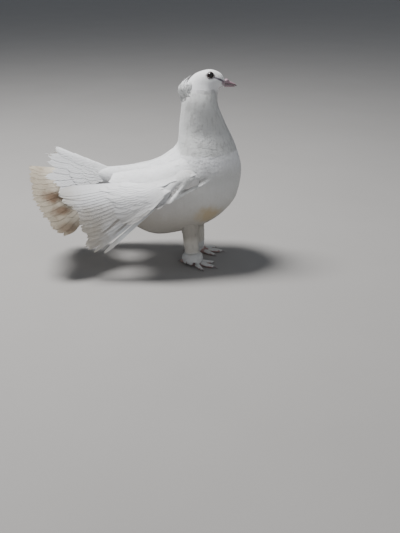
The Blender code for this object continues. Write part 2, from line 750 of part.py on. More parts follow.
def foot_solid(side, name, grow=0.0, finish=None):
    """Ball of the foot with four toes, flat underneath, or that swollen by grow."""
    x, y, foot_turn = FEET[side]
    turn = np.linspace(0, 2 * math.pi, 12, endpoint=False)
    hub = []
    for height, radius in ((0, 0.0052), (0.003, 0.0060), (ANKLE_HEIGHT, 0.0050)):
        radius += grow
        hub.append(np.stack([x + radius * np.cos(turn), y + radius * np.sin(turn),
                             np.full(12, height + (grow if height else 0))], 1))
    foot = loft(name, hub, finish)
    inward = 1 if side == "right" else -1
    pieces = []
    for digit, length in TOE_LENGTHS.items():
        toe_turn = foot_turn + TOE_TURNS[digit] * inward
        pieces.append(toe((x, y), toe_turn, length, grow))
        if digit in FEATHERED_TOES[side] and not grow:
            pieces += sleeve((x, y), toe_turn, length)
    return combine(foot, pieces, "UNION")


def clear_scene():
    """Remove whatever the scene holds."""
    for old in list(bpy.data.objects):
        bpy.data.objects.remove(old)


def main():
    clear_scene()
    white = material("white_feather", WHITE, 0.75)
    cream = material("cream_feather", CREAM, 0.8)
    pink = material("beak", BEAK_PINK, 0.45)
    toe_skin = material("toe_skin", TOE_PINK, 0.6)
    dark = material("eye", EYE_DARK, 0.1)
    body_length("torso", TORSO_RINGS, white, 0, HALF_GAP)
    neck = body_length("neck", NECK_RINGS, white, HALF_GAP, HALF_GAP)
    head = build_head(white)
    raised = [neck, head] + build_beak(pink) + build_eyes(dark) + [build_crest(white)]
    for made in raised:
        move_points(made, cock)
    build_wings(white)
    build_tail(cream)
    for side in FEET:
        build_leg(side, white)
        foot_solid(side, "foot_" + side, 0.0, toe_skin)
    for made in bpy.context.scene.objects:
        move_points(made, lambda points: points - np.array([CENTRE_X, 0, 0]))
        made.data.shade_smooth()
        made.data.set_sharp_from_angle(angle=math.radians(40))


main()
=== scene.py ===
"""Looks of a white fantail pigeon at life size: skin, plumage, eyes, bill and feet.

Metres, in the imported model's frame: X towards the beak, Y to the bird's left,
Z up. Every feather lies on a smooth surface of two parameters. A surface is a
function of (p, q), with p growing against the lie of the feathers and q across
it, so that the cross product of its two slopes points out of the bird.
"""
import math

import bpy
import numpy as np
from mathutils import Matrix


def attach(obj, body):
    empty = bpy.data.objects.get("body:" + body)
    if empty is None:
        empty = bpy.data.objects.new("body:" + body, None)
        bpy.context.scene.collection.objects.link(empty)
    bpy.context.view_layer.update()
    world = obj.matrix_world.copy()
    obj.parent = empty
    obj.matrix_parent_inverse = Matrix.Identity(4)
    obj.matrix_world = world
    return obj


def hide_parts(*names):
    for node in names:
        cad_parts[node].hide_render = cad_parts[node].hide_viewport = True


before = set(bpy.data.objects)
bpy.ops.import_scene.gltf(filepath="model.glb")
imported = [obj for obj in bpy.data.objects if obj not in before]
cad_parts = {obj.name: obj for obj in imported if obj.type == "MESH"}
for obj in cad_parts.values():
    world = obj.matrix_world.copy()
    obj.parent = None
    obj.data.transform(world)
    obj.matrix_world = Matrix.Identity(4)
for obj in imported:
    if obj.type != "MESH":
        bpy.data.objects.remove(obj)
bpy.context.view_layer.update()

CENTRE_X = 0.0045                 # shift that sets the bird's box over the origin

# Body rings: back x and z, breast x and z, half-width.
BODY_RINGS = (
    (-0.034, 0.1350, -0.030, 0.0920, 0.017),     # rump
    (-0.012, 0.1362, -0.005, 0.0560, 0.0245),
    (0.020, 0.1398, 0.033, 0.0395, 0.0350),
    (0.0535, 0.1562, 0.087, 0.0515, 0.0530),     # fullest belly
    (0.0610, 0.1665, 0.1205, 0.0715, 0.0575),
    (0.0622, 0.1768, 0.1405, 0.0985, 0.0535),    # breast
    (0.0628, 0.1878, 0.1458, 0.1300, 0.0440),
    (0.0637, 0.1992, 0.1375, 0.1625, 0.0340),
    (0.0650, 0.2108, 0.1232, 0.1930, 0.0255),
    (0.0660, 0.2225, 0.1125, 0.2195, 0.0210),    # throat
    (0.0690, 0.2350, 0.1130, 0.2320, 0.0172),
    (0.0745, 0.2465, 0.1152, 0.2356, 0.0155),    # nape
    (0.0870, 0.2575, 0.1172, 0.2372, 0.0146),
    (0.1030, 0.2612, 0.1190, 0.2378, 0.0130),    # crown above the eye
    (0.1165, 0.2568, 0.1208, 0.2384, 0.0092),
    (0.1225, 0.2485, 0.1225, 0.2398, 0.0052),    # base of the beak
)
RING_POWER = 2.15                 # 2 is an ellipse, more is squarer
LAST_RING = len(BODY_RINGS) - 1
# The head is cocked about a fore-and-aft axis at one height, with the turn spread over the neck.
COCK_ANGLE = math.radians(15)
COCK_HEIGHT = 0.235
COCK_FROM, COCK_TO = 0.180, 0.226
# Depth of the coat over the skin at ring numbers.
COAT_AT = (0, 3, 6, 9, 11, 13, 15)
COAT_DEPTH = (0.0030, 0.0042, 0.0032, 0.0022, 0.0014, 0.0007, 0.0003)

EYE_PLACE = (0.1032, 0.0084, 0.2522)
EYE_RADIUS = 0.0058
EYE_CLEAR = 0.0050                # feathers keep this far from the middle of a lid
CORNEA = 0.10                     # swell of the cornea as a share of the eye's radius
# Rim of the eye: its radius, distance from the middle plane, thickness, pebbles and lean.
LID_RING, LID_OUT = 0.0042, 0.0131
LID_THICK, LID_PEBBLES = 0.00045, 22
LID_LEAN = math.radians(20)

# Bill: x, upper and lower height, half-width.
UPPER_BEAK = (
    (0.1218, 0.2486, 0.2425, 0.0050),
    (0.1252, 0.2487, 0.2424, 0.0046),
    (0.1285, 0.2467, 0.2422, 0.0036),
    (0.1330, 0.2443, 0.2416, 0.0027),
    (0.1366, 0.2425, 0.2404, 0.0017),
    (0.1383, 0.2405, 0.2393, 0.0006),
)
LOWER_BEAK = (
    (0.1218, 0.2421, 0.2388, 0.0044),
    (0.1285, 0.2418, 0.2387, 0.0033),
    (0.1335, 0.2410, 0.2389, 0.0021),
    (0.1363, 0.2400, 0.2391, 0.0009),
)
BEAK_ROWS, BEAK_COLS = 60, 40
CERE_X, CERE_REACH = 0.1258, 0.0024
NOSTRIL_X, NOSTRIL_REACH = 0.1281, 0.0013

# Upper and lower margin of the wing's arm, from wrist to elbow.
WING_UPPER = (
    (0.112, -0.043, 0.1420), (0.092, -0.0475, 0.1450), (0.068, -0.0475, 0.1440),
    (0.045, -0.0410, 0.1335), (0.018, -0.0330, 0.1245), (-0.005, -0.0315, 0.1195),
)
WING_LOWER = (
    (0.116, -0.045, 0.1355), (0.0956, -0.0540, 0.1290), (0.075, -0.0590, 0.1205),
    (0.055, -0.0615, 0.1127), (0.036, -0.0635, 0.1045), (0.0172, -0.0650, 0.0975),
)
WING_PAD_THICK = 0.010
# Roots and tips of the flight feathers, from the innermost to the outermost.
FEATHER_ROOTS = (
    (0.022, -0.0345, 0.1215), (0.030, -0.0505, 0.1195),
    (0.038, -0.0590, 0.1140), (0.036, -0.0630, 0.1065),
)
FEATHER_TIPS = (
    (-0.0946, -0.0435, 0.1140), (-0.0850, -0.0500, 0.1015),
    (-0.0723, -0.0560, 0.0870), (-0.0668, -0.0600, 0.0669),
    (-0.0600, -0.064, 0.0450), (-0.0390, -0.068, 0.0405),
)
# Tail: its root, spread to each side, rise of the middle and fall of the sides.
TAIL_ROOT = (-0.030, 0.0, 0.1230)
TAIL_SPREAD = math.radians(43)
TAIL_RISE = math.radians(15.5)
TAIL_DROOP = math.radians(50)
TAIL_LENGTH = 0.094
LAYER = 0.0003                    # step from one long feather to its neighbour

# Scapular cape: margins on the back and along the wing's upper edge, front to back.
CAPE_INNER = (
    (0.0665, -0.0290, 0.1630), (0.0565, -0.0270, 0.1515), (0.0208, -0.0180, 0.1362),
    (-0.0116, -0.0125, 0.1325), (-0.0338, -0.0090, 0.1310),
)
CAPE_OUTER = (
    (0.0790, -0.0540, 0.1420), (0.0560, -0.0512, 0.1350), (0.0230, -0.0440, 0.1238),
    (-0.0100, -0.0415, 0.1200), (-0.0430, -0.0410, 0.1165),
)

# Feet: x and y of the ankle, and the turn of the foot in degrees.
FEET = {"right": (0.0775, -0.0260, -33), "left": (0.0900, 0.0200, -8)}
ANKLE_HEIGHT = 0.0072
# Leg rings: height, half-length fore and aft, half-width.
LEG_LEVELS = ((0.080, 0.0150, 0.0120), (0.045, 0.0110, 0.0097), (0.024, 0.0098, 0.0088),
              (0.012, 0.0092, 0.0082), (ANKLE_HEIGHT, 0.0070, 0.0066))
LEG_HEIGHT, LEG_LEAN = 0.062, 0.004   # a leg leans back by this much over this height
HUB_RADIUS = 0.0060               # ball of the foot
TOE_RADIUS = 0.0031
TOE_LENGTHS = {"inner": 0.0245, "middle": 0.030, "outer": 0.0235, "hind": 0.018}
TOE_TURNS = {"inner": 34, "middle": 2, "outer": -32, "hind": 180}
# Toe and claw: share of the toe's length, height of the axis, share of the toe's radius.
TOE_PROFILE = ((0.0, 0.0034, 1.0), (0.35, 0.0030, 0.95), (0.75, 0.0026, 0.88),
               (1.0, 0.0021, 0.72), (1.12, 0.0024, 0.34), (1.28, 0.0005, 0.12))
SCUTE_PITCH = 0.0021

MERIDIANS = 104                   # lines of body feathers round the bird
SLOPE_STEP = 1e-3                 # step for the slopes of a surface
FLOOR_CLEAR = 0.00005             # toes and feathers stay this far above the floor
SHARP = math.radians(50)          # edges sharper than this stay crisp
LEFT = np.array([1, -1, 1])       # mirrors a right-hand piece
FLAT_TURN = 6.4                   # a little over a full turn, to keep an unwrap in its square
PATCH = 0.003                     # width of one tuft on the bake map


def spline(table, where):
    """Curve through evenly spaced rows, without overshoot, straight past both ends."""
    rows = np.asarray(table, float)
    step = np.diff(rows, axis=0)
    slope = np.zeros_like(rows)
    before, after = step[:-1], step[1:]
    agree = before * after > 0
    total = np.where(agree, before + after, 1.0)
    slope[1:-1] = np.where(agree, 2 * before * after / total, 0.0)
    slope[0], slope[-1] = step[0], step[-1]
    where = np.asarray(where, float)
    inside = np.clip(where, 0, len(rows) - 1)
    index = np.minimum(inside.astype(int), len(rows) - 2)
    t = (inside - index)[..., None]
    value = (rows[index] * (1 - 3 * t**2 + 2 * t**3) + rows[index + 1] * (3 * t**2 - 2 * t**3)
             + slope[index] * (t - 2 * t**2 + t**3) + slope[index + 1] * (t**3 - t**2))
    over = (where - inside)[..., None]
    return value + over * np.where(over < 0, slope[0], slope[-1])


def placed(points):
    """Turn the head end about a fore-and-aft axis and set the bird over the origin."""
    share = np.clip((points[..., 2] - COCK_FROM) / (COCK_TO - COCK_FROM), 0, 1)
    turn = COCK_ANGLE * share**2 * (3 - 2 * share)
    height = points[..., 2] - COCK_HEIGHT
    y = points[..., 1]
    return np.stack([points[..., 0] - CENTRE_X,
                     y * np.cos(turn) + height * np.sin(turn),
                     COCK_HEIGHT + height * np.cos(turn) - y * np.sin(turn)], -1)


def body(p, q):
    """Body at ring number p and angle q round it: 0 is the back, pi the breast."""
    p, q = np.broadcast_arrays(p, q)
    back_x, back_z, front_x, front_z, width = np.moveaxis(spline(BODY_RINGS, p), -1, 0)
    power = 2 / RING_POWER
    along = np.sign(np.cos(q)) * np.abs(np.cos(q))**power
    across = np.sign(np.sin(q)) * np.abs(np.sin(q))**power
    half_x, half_z = (back_x - front_x) / 2, (back_z - front_z) / 2
    return placed(np.stack([(back_x + front_x) / 2 + half_x * along, width * across,
                            (back_z + front_z) / 2 + half_z * along], -1))


def slopes(surface, p, q):
    """Slopes of a surface along p and q, and its outward unit normal."""
    h = SLOPE_STEP
    along_p = (surface(p + h, q) - surface(p - h, q)) / (2 * h)
    along_q = (surface(p, q + h) - surface(p, q - h)) / (2 * h)
    normal = np.cross(along_p, along_q)
    size = np.linalg.norm(normal, axis=-1, keepdims=True)
    return along_p, along_q, normal / np.maximum(size, 1e-12)


def inset(values):
    """Places from 0 to 1 drawn in, to leave a rim free on the bake map."""
    return 0.02 + 0.96 * values


def add_piece(name, points, faces, finish, slot, maps=None, tone=None, nodes=()):
    """Mesh object from arrays, with uv maps and a tone for each point, riding on the bird."""
    points = np.asarray(points, np.float32).reshape(-1, 3)
    faces = np.asarray(faces, np.int32)
    mesh = bpy.data.meshes.new(name)
    mesh.vertices.add(len(points))
    mesh.vertices.foreach_set("co", points.ravel())
    mesh.loops.add(faces.size)
    mesh.loops.foreach_set("vertex_index", faces.ravel())
    mesh.polygons.add(len(faces))
    mesh.polygons.foreach_set("loop_start", np.arange(0, faces.size, 3, dtype=np.int32))
    mesh.polygons.foreach_set("use_smooth", np.ones(len(faces), bool))
    mesh.update(calc_edges=True)
    for key, values in (maps or {}).items():
        layer = mesh.uv_layers.new(name=key)
        layer.data.foreach_set("uv", np.asarray(values, np.float32)[faces.ravel()].ravel())
    if tone is not None:
        made = mesh.attributes.new("tone", "FLOAT", "POINT")
        made.data.foreach_set("value", np.asarray(tone, np.float32))
    mesh.validate()
    mesh.set_sharp_from_angle(angle=SHARP)
    mesh.materials.append(finish)
    piece = bpy.data.objects.new(name, mesh)
    bpy.context.scene.collection.objects.link(piece)
    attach(piece, "root")
    if nodes:
        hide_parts(*nodes)
    return piece


def add_feathers(name, made, finish, slot="plumage", nodes=()):
    """Piece from the points, faces, maps and tones that leaves, vanes or gathered return."""
    return add_piece(name, *made[:2], finish, slot, *made[2:], nodes=nodes)


def grid_faces(rows, cols, closed=False, looped=False):
    """Triangles of a grid: closed joins its last column to the first one, looped its last row."""
    r, c = np.meshgrid(np.arange(rows if looped else rows - 1),
                       np.arange(cols if closed else cols - 1), indexing="ij")
    here, there = r * cols, (r + 1) % rows * cols
    a, b = here + c, here + (c + 1) % cols
    d, e = there + c, there + (c + 1) % cols
    return np.stack([a, b, e, a, e, d], -1).reshape(-1, 3)


def tube(rings):
    """Closed tube through rings, with a pole at the middle of each end ring."""
    rings = np.asarray(rings)
    rows, cols, _ = rings.shape
    points = np.concatenate([rings.reshape(-1, 3), rings[:1].mean(1), rings[-1:].mean(1)])
    ring = np.arange(cols)
    after = (ring + 1) % cols
    last = (rows - 1) * cols
    first_cap = np.stack([np.full(cols, rows * cols), after, ring], 1)
    last_cap = np.stack([np.full(cols, rows * cols + 1), last + ring, last + after], 1)
    return points, np.concatenate([grid_faces(rows, cols, True), first_cap, last_cap])


def turned_out(points, faces):
    """Faces with their order reversed if they enclose a negative volume."""
    a, b, c = (points[faces[:, i]] for i in range(3))
    volume = np.einsum("ij,ij->i", a, np.cross(b, c)).sum()
    return faces if volume > 0 else faces[:, ::-1]


def joined(parts):
    """One set of points and faces from several."""
    points, faces, shift = [], [], 0
    for some_points, some_faces in parts:
        points.append(some_points)
        faces.append(some_faces + shift)
        shift += len(some_points)
    return np.concatenate(points), np.concatenate(faces)


LEAF_SHARES = np.array([0, 0.22, 0.46, 0.68, 0.86, 1.0])
LEAF_WIDTHS = np.array([0.30, 0.72, 1.0, 1.0, 0.80, 0.40])
LEAF_ACROSS = np.array([-1, -0.55, 0, 0.55, 1])
LEAF_ROWS, LEAF_COLS = len(LEAF_SHARES), len(LEAF_ACROSS)


def leaf_faces():
    """Triangles of one leaf: a cupped top, a flat underside and two thin ends."""
    rows, cols = LEAF_ROWS, LEAF_COLS
    top = grid_faces(rows, cols)[:, ::-1]
    left = np.arange(rows - 1) * cols
    right = left + cols - 1
    under = np.stack([left, right, right + cols, left, right + cols, left + cols], -1).reshape(-1, 3)
    tip = (rows - 1) * cols
    ends = [(0, i, i + 1) for i in range(1, cols - 1)]
    ends += [(tip, tip + i + 1, tip + i) for i in range(1, cols - 1)]
    return np.concatenate([top, under, np.array(ends)])


def creased(points):
    """Height that the creases beside the wing take from the plumage and add above them.

    Across a crease it is a bell-shaped groove with a bell-shaped ridge above it. Along
    it both grow and fade by a half sine, and they end where the side turns inwards.
    """
    sideways = np.array([0, 1.0, 0])
    right = points * np.array([1, 0, 1]) - sideways * np.abs(points[..., 1:2])
    height = 0.0
    for start, end, *_ in CREASES:
        start, end = np.array(start), np.array(end)
        run = end - start
        above = np.cross(run, sideways) * np.sign(run[0])
        above = -above / np.linalg.norm(above)
        offset = right - start
        share = np.clip(offset @ run / (run @ run), 0, 1)
        off = offset @ above
        near = np.exp(-((offset @ sideways - share * run[1]) / CREASE_REACH)**2)
        ridge = CREASE_RIDGE * np.exp(-((off - RIDGE_OFFSET) / RIDGE_WIDTH)**2)
        groove = CREASE_DEPTH * np.exp(-(off / CREASE_WIDTH)**2)
        height = height + np.sin(math.pi * share) * near * (ridge - groove)
    return height[..., None]


def leaves(surface, p, q, length, width, base, lift, random, yaw=0.12, cup=0.25,
           ragged=0.12, rise=0.28, flat=None, mirror=False):
    """Small feathers on a surface, one for each root (p, q).

    Each is a grid of shares along its length and across its width. A point's
    place is the surface at the root moved by those distances along and across
    the lie, plus the normal times base + lift * share**rise - cup * width *
    across**2. The tip's row is cut back unevenly.
    """
    count = len(p)
    along_p, along_q, normal = slopes(surface, p, q)
    lie = -along_p / np.linalg.norm(along_p, axis=-1, keepdims=True)
    aside = np.cross(normal, lie)
    turn = (random.normal(0, 1, count) * yaw)[:, None]
    ahead = lie * np.cos(turn) + aside * np.sin(turn)
    beside = aside * np.cos(turn) - lie * np.sin(turn)
    e, f, g = ((a * b).sum(-1) for a, b in ((along_p, along_p), (along_p, along_q),
                                            (along_q, along_q)))
    area = np.maximum(e * g - f * f, 1e-16)

    def steps(direction):
        """Changes of p and q for one metre in a direction."""
        on_p, on_q = (direction * along_p).sum(-1), (direction * along_q).sum(-1)
        return (g * on_p - f * on_q) / area, (e * on_q - f * on_p) / area

    share = np.broadcast_to(LEAF_SHARES[None, :, None], (count, LEAF_ROWS, LEAF_COLS)).copy()
    share[:, -1] *= 1 - ragged * random.random((count, LEAF_COLS))
    share[:, -2, 1:-1] *= 1 - 0.3 * ragged * random.random((count, LEAF_COLS - 2))
    across = LEAF_WIDTHS[None, :, None] * LEAF_ACROSS[None, None, :]
    far = length[:, None, None] * share
    wide = width[:, None, None] / 2 * across
    (ap, aq), (bp, bq) = steps(ahead), steps(beside)
    at_p = p[:, None, None] + far * ap[:, None, None] + wide * bp[:, None, None]
    at_q = q[:, None, None] + far * aq[:, None, None] + wide * bq[:, None, None]
    up = slopes(surface, at_p, at_q)[2]
    height = (base[:, None, None] + lift[:, None, None] * share**rise
              - cup * width[:, None, None] / 2 * across**2)
    points = surface(at_p, at_q)
    points = points + up * (height[..., None] + creased(points))
    template = leaf_faces()
    if mirror:
        points, template = points * LEFT, template[:, ::-1]
    each = LEAF_ROWS * LEAF_COLS
    faces = (template[None] + each * np.arange(count)[:, None, None]).reshape(-1, 3)
    across = np.broadcast_to(LEAF_ACROSS[None, None, :], share.shape)
    vane = np.stack([across / 2 + 0.5, share], -1).reshape(-1, 2)
    root = flat(p, q)[:, None, None, :]
    spot = root + PATCH * np.stack([across / 2, share - 0.5], -1)
    tone = np.repeat(random.random(count), each)
    return points.reshape(-1, 3), faces, {"vane": vane, "OFBake": spot.reshape(-1, 2)}, tone


VANE_ACROSS = np.array([-1, -0.86, -0.5, -0.13, 0, 0.13, 0.5, 0.86, 1])
VANE_ROWS, VANE_COLS = 44, len(VANE_ACROSS)
QUILL_SHARE = 0.16                # half-width at the root as a share of the widest
NOTCHES, NOTCH_REACH = 5, 0.022   # possible splits in each web, and their half-length
TIP_START, TIP_RUN = 0.80, 0.205  # share where the round tip starts, and its length
JAG_START = 0.75                  # share where the end turns ragged
SHAFT_REACH = 0.14                # half-width of the shaft as a share of the web
LIFT_RUN = 0.3                    # share over which a feather rises from its root


def vane_faces(rows, cols):
    """Triangles of a thin closed slab: top grid, bottom grid and rim."""
    top = grid_faces(rows, cols)
    shift = rows * cols
    rim = np.concatenate([np.arange(cols - 1), np.arange(rows - 1) * cols + cols - 1,
                          (rows - 1) * cols + np.arange(cols - 1, 0, -1),
                          np.arange(rows - 1, 0, -1) * cols])
    after = np.roll(rim, -1)
    side = np.concatenate([np.stack([rim, rim + shift, after], 1),
                           np.stack([after, rim + shift, after + shift], 1)])
    return np.concatenate([top, top[:, ::-1] + shift, side])


def vane_widths(half_width, share):
    """Half-widths along each feather: a narrow quill, a full middle and a round tip."""
    full = half_width[:, None] * (QUILL_SHARE + (1 - QUILL_SHARE) * share**0.5)
    tip = np.sqrt(np.clip(1 - ((share - TIP_START) / TIP_RUN)**2, 0.004, 1))
    return np.where(share > TIP_START, full * tip, full)


def notched_web(share, count, notch, random):
    """Shares of one web's width that are left beside its splits."""
    cut = np.zeros((count, VANE_ROWS))
    for _ in range(NOTCHES):
        spot = random.uniform(0.35, 1.0, (count, 1))
        depth = random.uniform(0, 1, (count, 1))
        cut += np.clip(1 - np.abs(share - spot) / NOTCH_REACH, 0, 1) * depth
    return 1 - notch * np.clip(cut, 0, 1.6)


def vane_maps(share, count):
    """Texture maps: one over each feather, and one where the feathers lie side by side."""
    shape = (count, VANE_ROWS, VANE_COLS)
    vane = np.stack([np.broadcast_to(VANE_ACROSS / 2 + 0.5, shape),
                     np.broadcast_to(share[..., None], shape)], -1)
    column = (np.arange(count)[:, None, None] + 0.1 + 0.8 * vane[..., 0]) / count
    spot = np.stack([column, inset(vane[..., 1])], -1)
    return {"vane": np.stack([vane, vane], 1).reshape(-1, 2),
            "OFBake": np.stack([spot, spot], 1).reshape(-1, 2)}


def vanes(surface, place, start, end, half_width, random, spacing=1.0, lift=0.0,
          layer=LAYER, thick=0.00035, ragged=0.02, notch=0.25, narrow=0.0, shaft=0.00045,
          mirror=False):
    """Long feathers on a surface of (-share, place): thin slabs with a raised shaft.

    Feather i runs at q = place[i] from -p = start[i] to end[i]. Its half-width
    in metres is at most half_width. A point stands off the surface by
    lift + layer * (place - q) / spacing, so that neighbours lie in steps.
    """
    count = len(place)
    share = np.linspace(0, 1, VANE_ROWS)[None, :]
    run = start[:, None] + (end - start)[:, None] * share
    wide_at = np.linalg.norm(surface(-run, place[:, None] + SLOPE_STEP)
                             - surface(-run, place[:, None] - SLOPE_STEP), axis=-1) / (2 * SLOPE_STEP)
    width = vane_widths(half_width, share)
    webs = [notched_web(share, count, notch, random) for _ in range(2)]
    across = VANE_ACROSS[None, None, :]
    edge = np.clip((np.abs(across) - 0.5) / 0.5, 0, 1)
    web = np.where(across < 0, webs[0][..., None], webs[1][..., None])
    web = 1 - (1 - web) * edge
    lean = np.where(across < 0, 1 - narrow, 1.0)
    q = place[:, None, None] + (width / wide_at)[..., None] * across * web * lean
    torn = np.clip((share[..., None] - JAG_START) / (1 - JAG_START), 0, 1)
    torn = torn * random.normal(0, 1, (count, 1, VANE_COLS)) * (np.abs(across) > 0.05)
    run = run[..., None] + ragged * torn
    up = slopes(surface, -run, q)[2]
    grown = np.clip(share / LIFT_RUN, 0, 1)[..., None]
    ridge = shaft * (1 - 0.8 * share[..., None]) * np.clip(1 - np.abs(across) / SHAFT_REACH, 0, 1)
    rise = np.reshape(lift, (-1, 1, 1)) * grown + layer * (place[:, None, None] - q) / spacing
    middle = surface(-run, q) + up * rise[..., None]
    half = thick / 2 * (1 - 0.5 * np.abs(across))
    top = middle + up * (half + ridge)[..., None]
    low = middle - up * (half + 0.5 * ridge)[..., None]
    points = np.stack([top, low], 1)
    template = vane_faces(VANE_ROWS, VANE_COLS)
    if mirror:
        points, template = points * LEFT, template[:, ::-1]
    each = 2 * VANE_ROWS * VANE_COLS
    faces = (template[None] + each * np.arange(count)[:, None, None]).reshape(-1, 3)
    tone = np.repeat(random.random(count), each)
    return points.reshape(-1, 3), faces, vane_maps(share, count), tone


def gathered(parts):
    """Join several results of leaves or vanes."""
    points, faces = joined([(part[0], part[1]) for part in parts])
    maps = {key: np.concatenate([part[2][key] for part in parts]) for key in parts[0][2]}
    return points, faces, maps, np.concatenate([part[3] for part in parts])


class Nodes:
    """Short way to write a material's nodes. A value that is a socket is linked."""

    def __init__(self, name):
        """Start a material that has one shader."""
        self.material = bpy.data.materials.new(name)
        self.material.use_nodes = True
        self.tree = self.material.node_tree
        self.shader = self.tree.nodes["Principled BSDF"]

    def put(self, socket, value):
        """Link a socket to an input, or set the input to a constant."""
        if isinstance(value, bpy.types.NodeSocket):
            self.tree.links.new(value, socket)
        else:
            socket.default_value = value

    def add(self, kind, inputs, output=0, **settings):
        """One of a new node's outputs."""
        made = self.tree.nodes.new("ShaderNode" + kind)
        for key, value in settings.items():
            setattr(made, key, value)
        for key, value in inputs.items():
            self.put(made.inputs[key], value)
        return made.outputs[output]

    def math(self, operation, a, b=0.0):
        """Result of one sum on two values."""
        return self.add("Math", {0: a, 1: b}, operation=operation)

    def times(self, a, b):
        """Product of two values."""
        return self.math("MULTIPLY", a, b)

    def mix(self, factor, a, b):
        """Colour a turning into colour b."""
        return self.add("Mix", {0: factor, 6: a, 7: b}, output=2, data_type="RGBA")

    def band(self, value, low, high, to_low=0.0, to_high=1.0):
        """Smooth change from to_low to to_high as a value goes from low to high."""
        return self.add("MapRange", {0: value, 1: low, 2: high, 3: to_low, 4: to_high},
                        interpolation_type="SMOOTHSTEP")

    def place(self):
        """The point's own place in the model."""
        return self.add("TexCoord", {}, output=3)

    def sided(self, upright=False):
        """The point's place made one on the right side, if asked with the head set upright first."""
        place = self.place()
        if upright:
            shift = (0, COCK_HEIGHT * math.sin(COCK_ANGLE), COCK_HEIGHT * (1 - math.cos(COCK_ANGLE)))
            place = self.add("Mapping", {0: place, 1: shift, 2: (COCK_ANGLE, 0, 0)})
        parts = self.add("SeparateXYZ", {0: place}).node.outputs
        right = self.times(self.math("ABSOLUTE", parts[1]), -1.0)
        return self.add("CombineXYZ", {0: parts[0], 1: right, 2: parts[2]})

    def noise(self, scale, detail=3.0, rough=0.55, stretch=(1, 1, 1)):
        """Cloudy pattern from 0 to 1, drawn out along an axis where stretch is under 1."""
        spot = self.add("Mapping", {0: self.place(), 3: stretch})
        return self.add("TexNoise", {"Vector": spot, "Scale": scale, "Detail": detail,
                                     "Roughness": rough})

    def wander(self, size, *pattern):
        """Noise about 0 that strays by up to half its size."""
        return self.times(self.math("SUBTRACT", self.noise(*pattern), 0.5), size)

    def stain(self, centre, radii, power=1.0):
        """Power at a centre, given for the right side, falling unevenly to 0 at the radii."""
        spot = self.add("VectorMath", {0: self.sided(), 1: centre}, operation="SUBTRACT")
        spot = self.add("VectorMath", {0: spot, 1: radii}, operation="DIVIDE")
        far = self.add("VectorMath", {0: spot}, output=1, operation="LENGTH")
        far = self.math("ADD", far, self.wander(0.9, 90))
        return self.times(self.band(far, 1.0, 0.25), power)

    def stroke(self, place, start, end, radius, power, fade=False):
        """Power along a line, falling to 0 at the radius and, if asked, at both ends."""
        run = tuple(b - a for a, b in zip(start, end))
        size = sum(a * a for a in run)
        spot = self.add("VectorMath", {0: place, 1: start}, operation="SUBTRACT")
        share = self.add("VectorMath", {0: spot, 1: tuple(a / size for a in run)}, output=1,
                         operation="DOT_PRODUCT")
        share = self.add("Clamp", {0: share})
        along = self.add("VectorMath", {0: run, "Scale": share}, operation="SCALE")
        spot = self.add("VectorMath", {0: spot, 1: along}, operation="SUBTRACT")
        far = self.add("VectorMath", {0: spot}, output=1, operation="LENGTH")
        far = self.math("ADD", far, self.wander(radius * 0.8, 300))
        if fade:
            power = self.times(self.math("SINE", self.times(share, math.pi)), power)
        return self.times(self.band(far, radius, radius * 0.5), power)

    def creases(self, colour, lines):
        """Painted shade along lines as seen from the side, alike on both sides of the bird."""
        flat = self.add("VectorMath", {0: self.place(), 1: (1, 0, 1)}, operation="MULTIPLY")
        for start, end, radius, power, stained in lines:
            start, end = ((spot[0], 0, spot[2]) for spot in (start, end))
            colour = self.mix(self.stroke(flat, start, end, radius, power, True), colour, stained)
        return colour

    def vane(self):
        """Share across and share along a feather."""
        both = self.add("SeparateXYZ", {0: self.add("UVMap", {}, uv_map="vane")}).node
        return both.outputs[0], both.outputs[1]

    def bump(self, height, strength, distance):
        """Normal of a surface roughened by a height."""
        return self.add("Bump", {"Height": height, "Strength": strength, "Distance": distance})

    def finish(self, colour, rough, normal=None, **constants):
        """The material, with its colour, roughness and other constants set."""
        self.put(self.shader.inputs["Base Color"], colour)
        self.put(self.shader.inputs["Roughness"], rough)
        if normal is not None:
            self.put(self.shader.inputs["Normal"], normal)
        for key, value in constants.items():
            self.shader.inputs[key.replace("_", " ")].default_value = value
        return self.material


WHITE = (0.90, 0.91, 0.93, 1)
# Grey of each feather's random tone and streaks, and of the painted shade at the feathers' roots.
GREY_TONE_AND_SHADE = (0.72, 0.72, 0.71, 1)
CREAM = (0.66, 0.60, 0.49, 1)
BEIGE = (0.38, 0.325, 0.24, 1)
BROWN = (0.17, 0.105, 0.06, 1)
WARM_WHITE = (0.84, 0.82, 0.77, 1)
# Painted shade of the neck and the crest, and of the ribs on them.
NECK_PAINTED_SHADE, NECK_RIB_PAINTED_SHADE = (0.54, 0.55, 0.53, 1), (0.42, 0.42, 0.41, 1)
# Painted shade of the breast and the belly.
BREAST_PAINTED_SHADE = (0.50, 0.50, 0.46, 1)
BELLY_PAINTED_SHADE = (0.42, 0.39, 0.34, 1)
SHANK_CREAM = (0.64, 0.58, 0.48, 1)
LORE_TONE = (0.12, 0.10, 0.14, 1)
# Painted shade under the cheek, in the creases and in the wing's folds.
CHEEK_SHADE = (0.36, 0.36, 0.36, 1)
CREASE_SHADE = (0.15, 0.14, 0.13, 1)
FOLD_SHADE = (0.28, 0.25, 0.22, 1)
# Zones of the plumage: where each one begins and where it is full, as a height or an x. The neck, crest,
# breast and belly zones are painted shade; the shank zone is cream.
NECK_FOOT, NECK_TOP, NECK_BACK = (0.1570, 0.1605), (0.2395, 0.2320), (0.050, 0.060)
CREST_FALL = (0.2520, 0.2300)
BREAST_FALL, BREAST_BACK = (0.150, 0.128), (0.020, 0.075)
BELLY_FALL, BELLY_FOOT = (0.122, 0.055), (0.034, 0.044)
SHANK_FALL, SHANK_FOOT = (0.046, 0.036), (0.016, 0.022)


